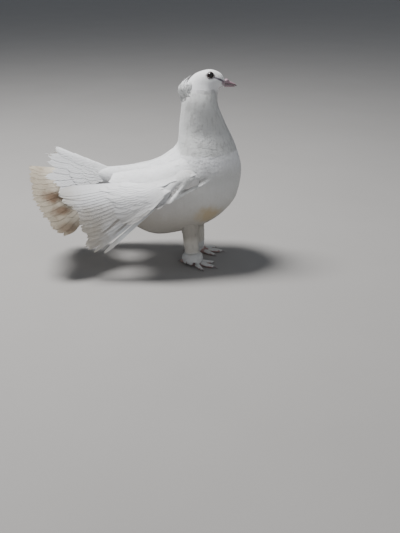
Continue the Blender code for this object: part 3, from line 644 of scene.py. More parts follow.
def barbs(nodes, rate, slant):
    """Height of the fine barbs: ridges that run out from the shaft towards the tip."""
    across, along = nodes.vane()
    out = nodes.math("ABSOLUTE", nodes.math("SUBTRACT", across, 0.5))
    ridge = nodes.math("SUBTRACT", nodes.times(along, rate),
                       nodes.times(out, slant))
    return nodes.math("SINE", ridge), along


def neck_painted_shade(nodes, colour, x, z):
    """Colour greyed on the neck by painted shade, with lengthwise ribs of painted shade."""
    grey = nodes.times(nodes.band(z, *NECK_FOOT), nodes.band(z, *NECK_TOP))
    grey = nodes.times(grey, nodes.band(x, *NECK_BACK))
    rib = nodes.band(nodes.noise(190, 3, 0.6, (1, 1, 0.16)), 0.47, 0.62, 0.0, 0.45)
    colour = nodes.mix(nodes.times(grey, 0.65), colour, NECK_PAINTED_SHADE)
    return nodes.mix(nodes.times(grey, rib), colour, NECK_RIB_PAINTED_SHADE)


def crest_painted_shade(nodes, colour, z):
    """Colour greyed down the crest by painted shade, with short ruffled ribs."""
    grey = nodes.band(z, *CREST_FALL, 0.30, 0.95)
    rib = nodes.band(nodes.noise(240, 3, 0.6, (1, 1, 0.35)), 0.47, 0.62, 0.0, 0.55)
    colour = nodes.mix(nodes.times(grey, 0.65), colour, NECK_PAINTED_SHADE)
    return nodes.mix(nodes.times(grey, rib), colour, NECK_RIB_PAINTED_SHADE)


def under_painted_shade_and_cream(nodes, colour, x, z):
    """Colour greyed on the breast and the belly by painted shade, and cream on the shanks."""
    breast = nodes.times(nodes.band(z, *BREAST_FALL, 0.0, 0.45), nodes.band(x, *BREAST_BACK))
    belly = nodes.times(nodes.band(z, *BELLY_FALL, 0.0, 0.90), nodes.band(z, *BELLY_FOOT))
    shank = nodes.times(nodes.band(z, *SHANK_FALL), nodes.band(z, *SHANK_FOOT, 0.0, 0.5))
    for share, tone in ((breast, BREAST_PAINTED_SHADE), (belly, BELLY_PAINTED_SHADE), (shank, SHANK_CREAM)):
        colour = nodes.mix(share, colour, tone)
    return colour


def plumage(name, root, ruffled=False):
    """White body feathers: painted shade at the root, up the neck, below and in the creases, with a
    stain and marks of the face.
    """
    nodes = Nodes(name)
    ridge, along = barbs(nodes, 60, 34)
    tone = nodes.add("Attribute", {}, output=2, attribute_name="tone")
    streak = nodes.band(nodes.noise(230, 2, 0.6, (1, 1, 0.22)), 0.45, 0.75, 0.0, 0.30)
    grey = nodes.math("ADD", nodes.times(tone, 0.12), streak)
    # Painted shade towards each feather's root, under the feathers that overlap it.
    grey = nodes.math("ADD", grey, nodes.band(along, 0.75, 0.25, 0.0, root))
    colour = nodes.mix(grey, WHITE, GREY_TONE_AND_SHADE)
    colour = nodes.mix(nodes.band(nodes.noise(28, 4), 0.48, 0.75, 0.0, 0.22), colour, WARM_WHITE)
    x, _, z = nodes.add("SeparateXYZ", {0: nodes.place()}).node.outputs
    z = nodes.math("ADD", z, nodes.wander(0.010, 60))
    colour = crest_painted_shade(nodes, colour, z) if ruffled else neck_painted_shade(nodes, colour, x, z)
    colour = under_painted_shade_and_cream(nodes, colour, x, z)
    # A stain that also serves as painted shade low on the body.
    for centre, radii, power, stained in BELLY_STAIN_AND_SHADE:
        colour = nodes.mix(nodes.stain(centre, radii, power), colour, stained)
    # Marks of the face, and painted shade under the cheek.
    face = nodes.sided(True)
    for start, end, radius, power, stained in FACE_LINES:
        colour = nodes.mix(nodes.stroke(face, start, end, radius, power), colour, stained)
    # Painted shade in the creases and where the wing's front edge lies on the belly.
    colour = nodes.creases(colour, CREASES + EDGE_SHADE)
    return nodes.finish(colour, 0.80, nodes.bump(ridge, 0.20, 0.0002), Sheen_Weight=0.15)


def flight_plumage(name, soiled):
    """Long feathers: white webs with barbs, cream edges and, on the tail, soiled ends; on the wing,
    soiling that is partly painted shade, and painted shade in the folds.
    """
    nodes = Nodes(name)
    ridge, along = barbs(nodes, 420, 120)
    tone = nodes.add("Attribute", {}, output=2, attribute_name="tone")
    streak = nodes.times(nodes.math("ADD", ridge, 1.0), 0.05)
    grey = nodes.math("ADD", nodes.times(tone, 0.18), streak)
    colour = nodes.mix(grey, WHITE, GREY_TONE_AND_SHADE)
    reach = nodes.math("ADD", along, nodes.wander(0.5, 42, 4, 0.6))
    if soiled:
        colour = nodes.mix(nodes.band(reach, 0.30, 0.60, 0.0, 0.85), colour, CREAM)
        colour = nodes.mix(nodes.band(reach, 0.50, 0.85, 0.0, 0.85), colour, BEIGE)
        dirt = nodes.band(nodes.noise(70, 5, 0.65), 0.50, 0.68)
        dirt = nodes.times(dirt, nodes.band(along, 0.60, 0.90, 0.0, 0.40))
        colour = nodes.mix(dirt, colour, BROWN)
        for centre, radii, power in TAIL_STAINS:
            colour = nodes.mix(nodes.stain(centre, radii, power), colour, BROWN)
    else:
        colour = nodes.mix(nodes.band(reach, 0.70, 1.00, 0.0, 0.55), colour, CREAM)
        colour = nodes.mix(nodes.band(reach, 0.98, 1.20, 0.0, 0.70), colour, BEIGE)
        # Soiling, partly painted shade low on the wing.
        for centre, radii, power in WING_STAINS_AND_SHADE:
            colour = nodes.mix(nodes.stain(centre, radii, power), colour, BEIGE)
        # Painted shade in the folds between the primaries.
        colour = nodes.creases(colour, WING_FOLDS)
    return nodes.finish(colour, 0.72, nodes.bump(ridge, 0.35, 0.00025), Sheen_Weight=0.10)


def skin_finish():
    """Pale skin under the coat, white and slightly rough."""
    nodes = Nodes("skin")
    colour = nodes.mix(nodes.noise(300, 4), (0.80, 0.80, 0.80, 1), (0.66, 0.63, 0.61, 1))
    return nodes.finish(colour, 0.8, nodes.bump(nodes.noise(900, 3), 0.4, 0.0004))


def horn_finish():
    """Bill: pinkish grey with a pale powdery cere and a darker tip."""
    nodes = Nodes("bill")
    x = nodes.add("SeparateXYZ", {0: nodes.place()}).node.outputs[0]
    colour = nodes.mix(nodes.noise(500, 4), (0.40, 0.27, 0.31, 1), (0.30, 0.20, 0.24, 1))
    colour = nodes.mix(nodes.band(x, 0.124, 0.1335, 0.0, 0.5), colour, (0.26, 0.16, 0.17, 1))
    powder = nodes.band(nodes.math("ADD", x, nodes.times(nodes.noise(400), 0.003)),
                        0.1262, 0.1230, 0.0, 0.35)
    colour = nodes.mix(powder, colour, (0.36, 0.29, 0.33, 1))
    mouth = nodes.stroke(nodes.sided(True), *MOUTH_LINE)
    colour = nodes.mix(mouth, colour, (0.07, 0.045, 0.055, 1))
    return nodes.finish(colour, 0.50, nodes.bump(nodes.noise(1400, 4), 0.2, 0.0002))


def lid_finish():
    """Bare rim of the eye: grey-pink, finely pebbled."""
    nodes = Nodes("eyelid")
    colour = nodes.mix(nodes.noise(1500, 3), (0.11, 0.095, 0.105, 1), (0.05, 0.045, 0.05, 1))
    return nodes.finish(colour, 0.5, nodes.bump(nodes.noise(2500, 2), 0.5, 0.0002))


def eye_finish():
    """Near-black eye with a dark brown iris round the pupil, under a wet coat."""
    nodes = Nodes("eye")
    ring = nodes.add("UVMap", {}, uv_map="vane")
    far = nodes.add("SeparateXYZ", {0: ring}).node.outputs[1]
    fleck = nodes.noise(2600, 3)
    iris = nodes.mix(fleck, (0.030, 0.012, 0.010, 1), (0.012, 0.006, 0.006, 1))
    colour = nodes.mix(nodes.band(far, 0.13, 0.16), (0.002, 0.002, 0.003, 1), iris)
    colour = nodes.mix(nodes.band(far, 0.26, 0.30), colour, (0.006, 0.005, 0.006, 1))
    return nodes.finish(colour, 0.20, Coat_Weight=0.3, Coat_Roughness=0.08)


def toe_finish():
    """Dull pink toe skin, with paler cloudy patches."""
    nodes = Nodes("toe_skin")
    colour = nodes.mix(nodes.noise(700, 4), (0.46, 0.31, 0.29, 1), (0.36, 0.23, 0.22, 1))
    colour = nodes.mix(nodes.band(nodes.noise(160, 3), 0.5, 0.7, 0, 0.5), colour, (0.62, 0.52, 0.44, 1))
    return nodes.finish(colour, 0.6, nodes.bump(nodes.noise(2000, 3), 0.3, 0.0002))


def claw_finish():
    """Horn of the claws, mottled dark pinkish grey."""
    nodes = Nodes("claw")
    colour = nodes.mix(nodes.noise(900, 3, 0.5, (1, 1, 4)), (0.32, 0.27, 0.27, 1), (0.20, 0.16, 0.16, 1))
    return nodes.finish(colour, 0.4)


# Marks are given for the right side, and the left one copies them.
# Stain of the body's plumage, strong enough to serve also as painted shade low on the body: centre,
# radii, strength and colour.
BELLY_STAIN_AND_SHADE = (
    ((0.0935, -0.044, 0.078), (0.026, 0.034, 0.020), 0.75, (0.48, 0.37, 0.20, 1)),
)
# Marks of the face, with the head upright: both ends, radius, strength and colour. The last two are
# painted shade under the cheek.
FACE_LINES = (
    ((0.1010, -0.0150, 0.2507), (0.1109, -0.0114, 0.2472), 0.0018, 0.85, LORE_TONE),
    ((0.1109, -0.0114, 0.2472), (0.1160, -0.0080, 0.2447), 0.0018, 0.90, LORE_TONE),
    ((0.1145, -0.0080, 0.2434), (0.1195, -0.0045, 0.2430), 0.0036, 0.85, (0.32, 0.23, 0.27, 1)),
    ((0.1095, -0.0062, 0.2368), (0.1170, -0.0060, 0.2415), 0.0016, 0.55, (0.28, 0.19, 0.21, 1)),
    ((0.1045, -0.0120, 0.2560), (0.1125, -0.0070, 0.2510), 0.0040, 0.25, (0.42, 0.43, 0.39, 1)),
    ((0.0800, -0.0195, 0.2324), (0.0918, -0.0177, 0.2302), 0.0034, 0.45, CHEEK_SHADE),
    ((0.0918, -0.0177, 0.2302), (0.1030, -0.0130, 0.2324), 0.0034, 0.45, CHEEK_SHADE),
)
# Line of the mouth on the bill: both ends, radius and strength.
MOUTH_LINE = ((0.1165, -0.0045, 0.2423), (0.1335, -0.0005, 0.2404), 0.0009, 0.8)
# Creases of the breast beside the wing: both ends, radius, strength and colour of the shade painted
# along them.
CREASES = (
    ((0.0930, -0.0554, 0.1350), (0.0490, -0.0619, 0.1128), 0.0023, 0.85, CREASE_SHADE),
    ((0.0580, -0.0582, 0.1290), (0.0370, -0.0570, 0.1060), 0.0022, 0.80, CREASE_SHADE),
)
CREASE_DEPTH, CREASE_WIDTH, CREASE_REACH = 0.0034, 0.0026, 0.012
CREASE_RIDGE, RIDGE_WIDTH, RIDGE_OFFSET = 0.0024, 0.0036, 0.0055
# Shade where the wing's front edge lies on the belly, in the same form.
EDGE_SHADE = (
    ((0.0450, -0.0600, 0.1060), (-0.0050, -0.0600, 0.0820), 0.0055, 0.55, (0.24, 0.22, 0.19, 1)),
)
# Shaded folds between the primaries, in the same form.
WING_FOLDS = (
    ((-0.0100, -0.0620, 0.0965), (-0.0560, -0.0645, 0.0575), 0.0020, 0.80, FOLD_SHADE),
    ((0.0000, -0.0660, 0.0915), (-0.0360, -0.0660, 0.0605), 0.0018, 0.70, FOLD_SHADE),
)
# Soiling of the wing and the tail: centre, radii and strength. On the wing it is partly painted shade
# low on the feathers.
WING_STAINS_AND_SHADE = (
    ((-0.062, -0.062, 0.060), (0.040, 0.030, 0.030), 0.50),
    ((-0.048, -0.060, 0.085), (0.050, 0.030, 0.024), 0.42),
)
TAIL_STAINS = (
    ((-0.1117, -0.0336, 0.1062), (0.018, 0.030, 0.011), 1.0),
    ((-0.0992, -0.0435, 0.0899), (0.020, 0.030, 0.009), 0.9),
    ((-0.0921, -0.0532, 0.0696), (0.020, 0.030, 0.010), 0.6),
)


def body_flat(p, q):
    """Place of a body point on the skin's unwrap, whose right end is left to the legs."""
    return np.stack([0.02 + 0.70 * (p + 1) / (LAST_RING + 1.5),
                     inset(np.mod(q / (2 * math.pi), 1))], -1)


def square_flat(p, q):
    """Place of a point of a small surface on its own unwrap."""
    low = np.array([p.min(), q.min()])
    size = np.maximum([np.ptp(p), np.ptp(q)], 1e-6)
    return 0.05 + 0.9 * (np.stack([p, q], -1) - low) / size


def coat_depth(p):
    """Depth of the coat over the skin at ring number p."""
    return np.interp(p, COAT_AT, COAT_DEPTH)


def leg_ring(side, height, turn, less=0.0):
    """Point of a leg at a height and an angle round it."""
    x, y, _ = FEET[side]
    levels = np.array(LEG_LEVELS)[::-1]
    fore = np.interp(height, levels[:, 0], levels[:, 1]) - less
    wide = np.interp(height, levels[:, 0], levels[:, 2]) - less
    lean = height / LEG_HEIGHT * LEG_LEAN
    return np.stack([x - lean + fore * np.cos(turn) - CENTRE_X, y - wide * np.sin(turn), height], -1)


SKIN_ROWS, SKIN_COLS = 200, 96
LEG_ROWS, LEG_COLS = 40, 32
LEG_BURIED = 0.0015               # length of the bare leg inside the ball of the foot
LEG_DEPTH = 0.0022                # depth of the coat on a leg


def leg_core(side, corner, finish):
    """Bare leg from the ankle into the body, unwrapped on a strip beside the body."""
    heights = np.linspace(ANKLE_HEIGHT - LEG_BURIED, LEG_LEVELS[0][0], LEG_ROWS)[:, None]
    turn = np.linspace(0, 2 * math.pi, LEG_COLS, endpoint=False)[None, :]
    points, faces = tube(leg_ring(side, heights + 0 * turn, turn + 0 * heights, LEG_DEPTH))
    spread = np.stack(np.broadcast_arrays((heights - 0.005) / 0.08, turn / FLAT_TURN), -1)
    flat = np.array(corner) + spread * np.array([0.10, 0.96])
    flat = np.concatenate([flat.reshape(-1, 2), flat[0, :1], flat[-1, :1]])
    mesh = bpy.data.meshes.new("leg")
    mesh.from_pydata(points.tolist(), [], turned_out(points, faces).tolist())
    layer = mesh.uv_layers.new(name="OFBake")
    order = np.empty(len(mesh.loops), np.int32)
    mesh.loops.foreach_get("vertex_index", order)
    layer.data.foreach_set("uv", flat[order].astype(np.float32).ravel())
    mesh.materials.append(finish)
    leg = bpy.data.objects.new("leg", mesh)
    bpy.context.scene.collection.objects.link(leg)
    return leg


def build_skin(finish):
    """One skin: the body inside its coat with both legs fused to it."""
    numbers = np.linspace(0, LAST_RING, SKIN_ROWS)[:, None]
    turn = np.linspace(0, 2 * math.pi, SKIN_COLS, endpoint=False)[None, :]
    normal = slopes(body, numbers, turn + 1e-4)[2]
    points, faces = tube(body(numbers, turn) - normal * coat_depth(numbers)[..., None])
    flat = body_flat(*np.broadcast_arrays(numbers, turn)).reshape(-1, 2)
    maps = {"OFBake": np.concatenate([flat, [[0.02, 0.5], [0.72, 0.5]]])}
    skin = add_piece("skin", points, turned_out(points, faces), finish, "plumage", maps,
                     nodes=("torso", "neck", "head", "leg_right", "leg_left"))
    legs = [leg_core(side, (0.76 + 0.12 * number, 0.02), finish) for number, side in enumerate(FEET)]
    for leg in legs:
        fuse = skin.modifiers.new("fuse", "BOOLEAN")
        fuse.operation = "UNION"
        fuse.object = leg
    graph = bpy.context.evaluated_depsgraph_get()
    whole = bpy.data.meshes.new_from_object(skin.evaluated_get(graph))
    skin.modifiers.clear()
    skin.data = whole
    whole.polygons.foreach_set("use_smooth", np.ones(len(whole.polygons), bool))
    for leg in legs:
        bpy.data.objects.remove(leg)


# Body feathers by ring number: pitch along the body, and length.
PITCH_AT = (0, 2, 4, 6, 8, 10, 12, 15)
PITCHES = (0.0040, 0.0046, 0.0044, 0.0038, 0.0030, 0.0021, 0.0014, 0.0009)
LENGTH_AT = (0, 3, 6, 8, 10, 12, 15)
LENGTHS = (0.017, 0.017, 0.0145, 0.0115, 0.0080, 0.0048, 0.0022)
# Body feathers: how much their length and width vary, width as a share of the meridians'
# spacing, and its limits.
LENGTH_SPREAD, WIDTH_SPREAD = (0.78, 1.18), (0.85, 1.1)
WIDTH_SHARE, WIDTH_LIMITS = 2.5, (0.0011, 0.0090)
# How far roots stray round the bird, as a share of a meridian's spacing, and along it.
STRAY_AROUND, STRAY_ALONG = 0.18, 0.012
# Roots lie a little under the skin. Tips rise by the coat's depth and a little more.
ROOT_SUNK, TIP_RISE = 0.0002, 0.0004
# Pieces of the coat: name, first and last ring number.
COAT_PIECES = (("coat_rump", -1, 2.2), ("coat_belly", 2.2, 4.2), ("coat_breast", 4.2, 6.6),
               ("coat_neck", 6.6, 9.8), ("coat_head", 9.8, 16))


def body_roots(random):
    """Roots of the body feathers: along each meridian at even steps of the local pitch."""
    number = np.linspace(-0.25, LAST_RING - 0.12, 900)
    pitch = np.interp(number, PITCH_AT, PITCHES)
    p, q = [], []
    for index in range(MERIDIANS):
        turn = 2 * math.pi * (index + 0.5) / MERIDIANS
        line = body(number, turn)
        step = np.linalg.norm(np.diff(line, axis=0), axis=1)
        count = np.concatenate([[0], np.cumsum(step / pitch[1:])])
        wanted = np.arange(0.5 * (index % 2), count[-1], 1.0)
        p.append(np.interp(wanted, count, number))
        q.append(np.full(len(wanted), turn))
    p, q = np.concatenate(p), np.concatenate(q)
    q = q + random.normal(0, STRAY_AROUND, len(q)) * 2 * math.pi / MERIDIANS
    return p + random.normal(0, STRAY_ALONG, len(p)), q


def clear_of_eyes(p, q, length):
    """True where a feather covers neither eye."""
    root = body(p, q)
    lie = -slopes(body, p, q)[0]
    lie = lie / np.linalg.norm(lie, axis=-1, keepdims=True)
    clear = np.ones(len(p), bool)
    for side in (-1, 1):
        x, _, z = EYE_PLACE
        centre = placed(np.array([x, side * LID_OUT, z]))
        for share in (0, 0.25, 0.5, 0.75, 1.0):
            spot = root + lie * (length * share)[:, None]
            clear &= np.linalg.norm(spot - centre, axis=1) > EYE_CLEAR
    return clear


def build_coat(finish):
    """Body feathers in pieces from the rump to the forehead."""
    random = np.random.default_rng(11)
    p, q = body_roots(random)
    spread = 2 * math.pi / MERIDIANS
    gap = np.linalg.norm(body(p, q + spread / 2) - body(p, q - spread / 2), axis=-1)
    length = np.interp(p, LENGTH_AT, LENGTHS) * random.uniform(*LENGTH_SPREAD, len(p))
    width = np.clip(gap * WIDTH_SHARE, *WIDTH_LIMITS) * random.uniform(*WIDTH_SPREAD, len(p))
    keep = clear_of_eyes(p, q, length)
    p, q, length, width = p[keep], q[keep], length[keep], width[keep]
    depth = coat_depth(p)
    base = -depth - ROOT_SUNK
    lift = depth * random.uniform(0.99, 1.04, len(p)) + TIP_RISE
    for name, low, high in COAT_PIECES:
        some = (p >= low) & (p < high)
        made = leaves(body, p[some], q[some], length[some], width[some], base[some], lift[some],
                      random, yaw=0.16, cup=0.05, ragged=0.30, rise=0.10, flat=body_flat)
        add_feathers(name, made, finish)


def arm_section(share):
    """Both margins of the arm at a share of its length, its outward normal and its thickness."""
    row = share * (len(WING_UPPER) - 1)
    upper, lower = spline(WING_UPPER, row), spline(WING_LOWER, row)
    out = np.cross((upper - lower) / 2, [1.0, 0, 0])
    out = out / np.linalg.norm(out, axis=-1, keepdims=True)
    out = out * np.where(out[..., 1:2] > 0, -1, 1)
    thick = WING_PAD_THICK * (0.35 + 0.65 * np.sin(math.pi * (0.12 + 0.80 * np.clip(share, 0, 1))))
    return upper, lower, out, thick


def arm(p, q):
    """Right shoulder and arm: -p runs from wrist (0) to elbow (1), q from the lower
    margin (-1) to the upper one (0), bulging outwards between them."""
    p, q = np.broadcast_arrays(p, q)
    upper, lower, out, thick = arm_section(-p)
    share = -q[..., None]
    bulge = thick[..., None] / 2 * np.sin(math.pi * np.clip(share, -0.15, 1.15))
    return upper * (1 - share) + lower * share + out * bulge - np.array([CENTRE_X, 0, 0])


def flight(p, q):
    """Right flight feathers: -p from root (0) to tip (1), -q from the innermost (0)
    to the outermost (1), on straight lines bowed a little outwards."""
    p, q = np.broadcast_arrays(p, q)
    u, v = -q, -p
    root = spline(FEATHER_ROOTS, u * (len(FEATHER_ROOTS) - 1))
    tip = spline(FEATHER_TIPS, u * (len(FEATHER_TIPS) - 1))
    t = v[..., None]
    bow = np.stack([0 * v, -0.010 * v * (1 - v), 0.004 * v * (1 - v)], -1)
    return root * (1 - t) + tip * t + bow - np.array([CENTRE_X, 0, 0])


def fan_surface(root, spread, rise, droop, near, far, arch=0.0, swell=0.0):
    """A spread fan: q turns to the bird's left, -p runs outwards from near by far.

    Arch lifts it between its ends, and swell lengthens it halfway to each side.
    """
    def surface(p, q):
        """Point of the fan."""
        p, q = np.broadcast_arrays(p, q)
        turn = spread * q
        tilt = rise - droop * np.sqrt(q**2 + 0.02)
        side = np.clip(np.abs(q), 0, 1)
        reach = near - (far + swell * side * (1 - side)) * p
        lift = arch * -p * (1 + p)
        return np.stack([root[0] - reach * np.cos(turn) * np.cos(tilt) - CENTRE_X,
                         reach * np.sin(turn) * np.cos(tilt),
                         root[2] + reach * np.sin(tilt) + lift], -1)
    return surface


PAD_ROWS, PAD_COLS = 30, 24
PAD_SINK, PAD_NARROW = 0.0055, 0.40   # how deep and how narrow the flesh is at its front


def pad_skin(side_name, finish):
    """Flesh of the arm under its coverts, sunk and narrow in front, for the whole wing's solid."""
    share = np.linspace(0.02, 0.98, PAD_ROWS)[:, None]
    turn = np.linspace(0, 2 * math.pi, PAD_COLS, endpoint=False)[None, :]
    upper, lower, out, thick = arm_section(share + 0 * turn)
    middle, half = (upper + lower) / 2, (upper - lower) / 2
    front = np.clip(1 - share / 0.35, 0, 1)[..., None]
    aside = (0.36 * thick * np.sin(turn))[..., None]
    rings = (middle + half * (0.88 - PAD_NARROW * front) * np.cos(turn)[..., None]
             + out * (aside * (1 - 0.7 * front) - PAD_SINK * front) - np.array([CENTRE_X, 0, 0]))
    if side_name == "left":
        rings = rings * LEFT
    points, faces = tube(rings)
    flat = 0.03 + 0.94 * np.stack(np.broadcast_arrays(share, turn / FLAT_TURN), -1).reshape(-1, 2)
    maps = {"OFBake": np.concatenate([flat, [[0.01, 0.5], [0.99, 0.5]]])}
    add_piece("arm_" + side_name, points, turned_out(points, faces), finish, "plumage", maps,
              nodes=("wing_" + side_name,))


def cape(p, q):
    """Right scapular cape: -p runs back from the shoulder (0) to the rump (1), q from the
    wing's upper edge (-1) to the back (0)."""
    p, q = np.broadcast_arrays(p, q)
    row = -p * (len(CAPE_INNER) - 1)
    share = -q[..., None]
    swell = 0.0030 * np.sin(math.pi * np.clip(share, 0, 1)) * np.array([0, -0.5, 1])
    return (spline(CAPE_INNER, row) * (1 - share) + spline(CAPE_OUTER, row) * share
            + swell - np.array([CENTRE_X, 0, 0]))


def rows_of_roots(surface, start, stop, step, pitch, low, high, random):
    """Roots in staggered rows: p from -start to -stop, q spread from low to high."""
    rows = []
    for row, run in enumerate(np.arange(start, stop, step)):
        ends = surface(np.array([-run, -run]), np.array([low, high]))
        count = max(4, int(np.linalg.norm(ends[1] - ends[0]) / pitch))
        across = low + (high - low) * (np.arange(count) + 0.25 + 0.5 * (row % 2)) / count
        rows.append(np.stack([np.full(count, -run), across], 1))
    roots = np.concatenate(rows)
    roots = roots + random.normal(0, 1, roots.shape) * np.array([0.15 * step, 0.012])
    return roots[:, 0], roots[:, 1]


# Flight feathers: places of the secondaries and primaries over the wing's spread.
SECONDARIES = np.linspace(0, 0.74, 15)
PRIMARIES = (0.81, 0.90, 1.0)
PRIMARY_FROM, PRIMARY_RUN = 0.72, 0.12   # place where feathers start to narrow, and how fast
FLIGHT_HALF, FLIGHT_NARROW = 0.0094, 0.0055
# Tiers of coverts: number, share of the wing's length, half-width and lift.
COVERT_TIERS = ((19, 0.50, 0.0070, 0.0028), (17, 0.33, 0.0068, 0.0032), (15, 0.18, 0.0064, 0.0036))
COVERT_SPAN = 0.86
# Rows of small feathers on the arm and the cape: first and last row, step between rows,
# pitch along a row, and where a row starts and ends across.
ARM_ROWS = (0.04, 0.98, 0.036, 0.0022, -1.04, 0.16)
CAPE_ROWS = (0.0, 0.74, 0.030, 0.0030, -1.12, -0.02)
# Places from front to back, with the length of a feather there or the height of its root.
ARM_LENGTHS = ((0, 0.5, 1), (0.0095, 0.0140, 0.0180))
ARM_HEIGHTS = ((0, 0.2, 0.45, 1.0), (-0.0070, -0.0042, -0.0014, 0.0006))
CAPE_LENGTHS = ((0, 0.3, 0.8), (0.013, 0.021, 0.027))
CAPE_HEIGHTS = ((0, 0.45, 0.8), (-0.0036, -0.0024, -0.0044))


def wing_leaves(surface, p, q, lengths, uneven, slender, heights, lift, random, **shape):
    """Small feathers of a wing; slender is their width as a share of their length."""
    length = np.interp(-p, *lengths) * random.uniform(0.80, uneven, len(p))
    return leaves(surface, p, q, length, length * slender, np.interp(-p, *heights),
                  np.full(len(p), lift), random, cup=0.06, ragged=0.30, flat=square_flat, **shape)


def build_wing(side_name, coat, flights, flesh):
    """Flight feathers, three tiers of coverts, the small feathers of the arm and the cape."""
    mirror = side_name == "left"
    random = np.random.default_rng(23 if mirror else 21)
    place = -np.concatenate([SECONDARIES, PRIMARIES])
    count = len(place)
    primary = np.clip((-place - PRIMARY_FROM) / PRIMARY_RUN, 0, 1)
    end = 1 + random.normal(0, 0.018, count)
    half_width = FLIGHT_HALF - FLIGHT_NARROW * primary
    made = vanes(flight, place, np.full(count, -0.06), end, half_width, random,
                 spacing=SECONDARIES[1], lift=0.0022 * (1 - primary), thick=0.0002, ragged=0.012,
                 narrow=0.15, notch=0.12, shaft=0.00012, mirror=mirror)
    add_feathers("flights_" + side_name, made, flights)
    tiers = []
    for count, end, wide, lift in COVERT_TIERS:
        place = -(np.arange(count) + 0.3) / count * COVERT_SPAN
        ends = end + 0.06 * np.sin(-place * 3.6) + random.normal(0, 0.022, count)
        tiers.append(vanes(flight, place, np.full(count, -0.10), ends, np.full(count, wide), random,
                           spacing=COVERT_SPAN / count, lift=lift, thick=0.0002, ragged=0.018,
                           notch=0.12, shaft=0.00006, mirror=mirror))
    add_feathers("coverts_" + side_name, gathered(tiers), coat)
    p, q = rows_of_roots(arm, *ARM_ROWS, random)
    keep = (p > -0.78) | (q > -0.70)          # bare at the elbow, over the flight feathers
    made = wing_leaves(arm, p[keep], q[keep], ARM_LENGTHS, 1.1, 0.48, ARM_HEIGHTS, 0.0022, random,
                       yaw=0.13, rise=0.12, mirror=mirror)
    add_feathers("arm_coat_" + side_name, made, coat)
    p, q = rows_of_roots(cape, *CAPE_ROWS, random)
    made = wing_leaves(cape, p, q, CAPE_LENGTHS, 1.15, 0.40, CAPE_HEIGHTS, 0.0028, random,
                       yaw=0.12, rise=0.15, mirror=mirror)
    add_feathers("cape_" + side_name, made, coat)
    pad_skin(side_name, flesh)


def fan_vanes(surface, sides, start, end, half_width, random, uneven=0.014, **shape):
    """Feathers spread evenly to both sides; those nearer the middle lie on top."""
    spacing = 1 / sides
    parts = []
    for sign in (-1, 1):
        place = sign * spacing * np.arange(1, sides + 1)
        ends = end + random.normal(0, uneven, sides)
        parts.append(vanes(surface, place, np.full(sides, start), ends, np.full(sides, half_width),
                           random, spacing=spacing, layer=-sign * LAYER, **shape))
    parts.append(vanes(surface, np.zeros(1), np.array([start]), np.array([end]),
                       np.array([half_width]), random, spacing=1e9,
                       **{**shape, "lift": shape.get("lift", 0) + 1.4 * LAYER}))
    return parts


# Raised plume over the tail, and coverts under it: root, then spread, rise and fall.
UPPER_ROOT, UPPER_ANGLES = (-0.024, 0, 0.1290), np.radians((27, 31, 40))
UNDER_ROOT, UNDER_ANGLES = (-0.026, 0, 0.1040), np.radians((36, 8, 32))
# Feathers of each fan: number on each side of the middle one, first and last share of the
# fan's length, and half-width.
TAIL_FAN, PLUME_FAN = (13, 0.0, 1.0, 0.0105), (7, -0.05, 1.0, 0.0070)
UNDER_FAN, UNDER_TIER = (6, -0.1, 1.0, 0.0080), (5, -0.1, 0.66, 0.0080)
# Coverts over the base of the raised plume: share of its length and lift.
UPPER_TIERS = ((0.68, 0.0007), (0.46, 0.0011), (0.26, 0.0015))


def build_tail(coat, flights):
    """Spread tail, its upper coverts raised above it and the coverts below it."""
    random = np.random.default_rng(31)
    tail = fan_surface(TAIL_ROOT, TAIL_SPREAD, TAIL_RISE, TAIL_DROOP, near=0.012, far=TAIL_LENGTH,
                       arch=0.006)
    parts = fan_vanes(tail, *TAIL_FAN, random, ragged=0.02, notch=0.35, thick=0.0003, shaft=0.0002)
    add_feathers("tail_fan", gathered(parts), flights, "tail_plumage", ("tail",))
    upper = fan_surface(UPPER_ROOT, *UPPER_ANGLES, near=0.010, far=0.070, swell=0.030)
    parts = fan_vanes(upper, *PLUME_FAN, random, uneven=0.045, ragged=0.035, thick=0.0002,
                      shaft=0.0001, notch=0.15)
    for end, lift in UPPER_TIERS:
        parts += fan_vanes(upper, 6, -0.12, end, 0.0084, random, ragged=0.012, lift=lift,
                           thick=0.0002, shaft=0.00003, notch=0.04)
    add_feathers("tail_coverts", gathered(parts), coat)
    below = fan_surface(UNDER_ROOT, *UNDER_ANGLES, near=0.010, far=0.052)
    parts = fan_vanes(below, *UNDER_FAN, random, ragged=0.015, shaft=0.0002)
    parts += fan_vanes(below, *UNDER_TIER, random, ragged=0.015, lift=-0.0016, shaft=0.0002)
    add_feathers("vent_coverts", gathered(parts), coat)


# Crest: x and z of the middle of its foot, reach behind it, height and turn to each side.
CREST_FOOT = (0.0885, 0.2255)
CREST_REACH, CREST_HEIGHT, CREST_TURN = 0.0218, 0.0235, math.radians(62)
CREST_BULGE, CREST_CURL = 0.0048, 0.0260
# Half-width of the shell up its height.
CREST_SIDE = ((-0.4, 0, 0.4, 1), (0.0216, 0.0201, 0.0172, 0.0160))


def crest(p, q):
    """Shell round the nape: -p runs up from the nape, q turns to the bird's right.

    It bulges backwards above its foot and curls forward towards its top.
    """
    p, q = np.broadcast_arrays(p, q)
    turn = CREST_TURN * q
    v = -p
    share = np.clip((v + 0.55) / 1.1, 0, 1)
    bulge = CREST_BULGE * share**2 * (3 - 2 * share) - CREST_CURL * np.clip(v - 0.40, 0, 2)**2
    bulge = bulge * (1 - 0.9 * np.clip(np.abs(q), 0, 1)**3)
    side = np.interp(v, *CREST_SIDE)
    return placed(np.stack([CREST_FOOT[0] - (CREST_REACH + bulge) * np.cos(turn),
                            -(side + 0.7 * bulge) * np.sin(turn),
                            CREST_FOOT[1] + CREST_HEIGHT * v - 0.0055 * np.clip(v, 0, 1) * q**2], -1))


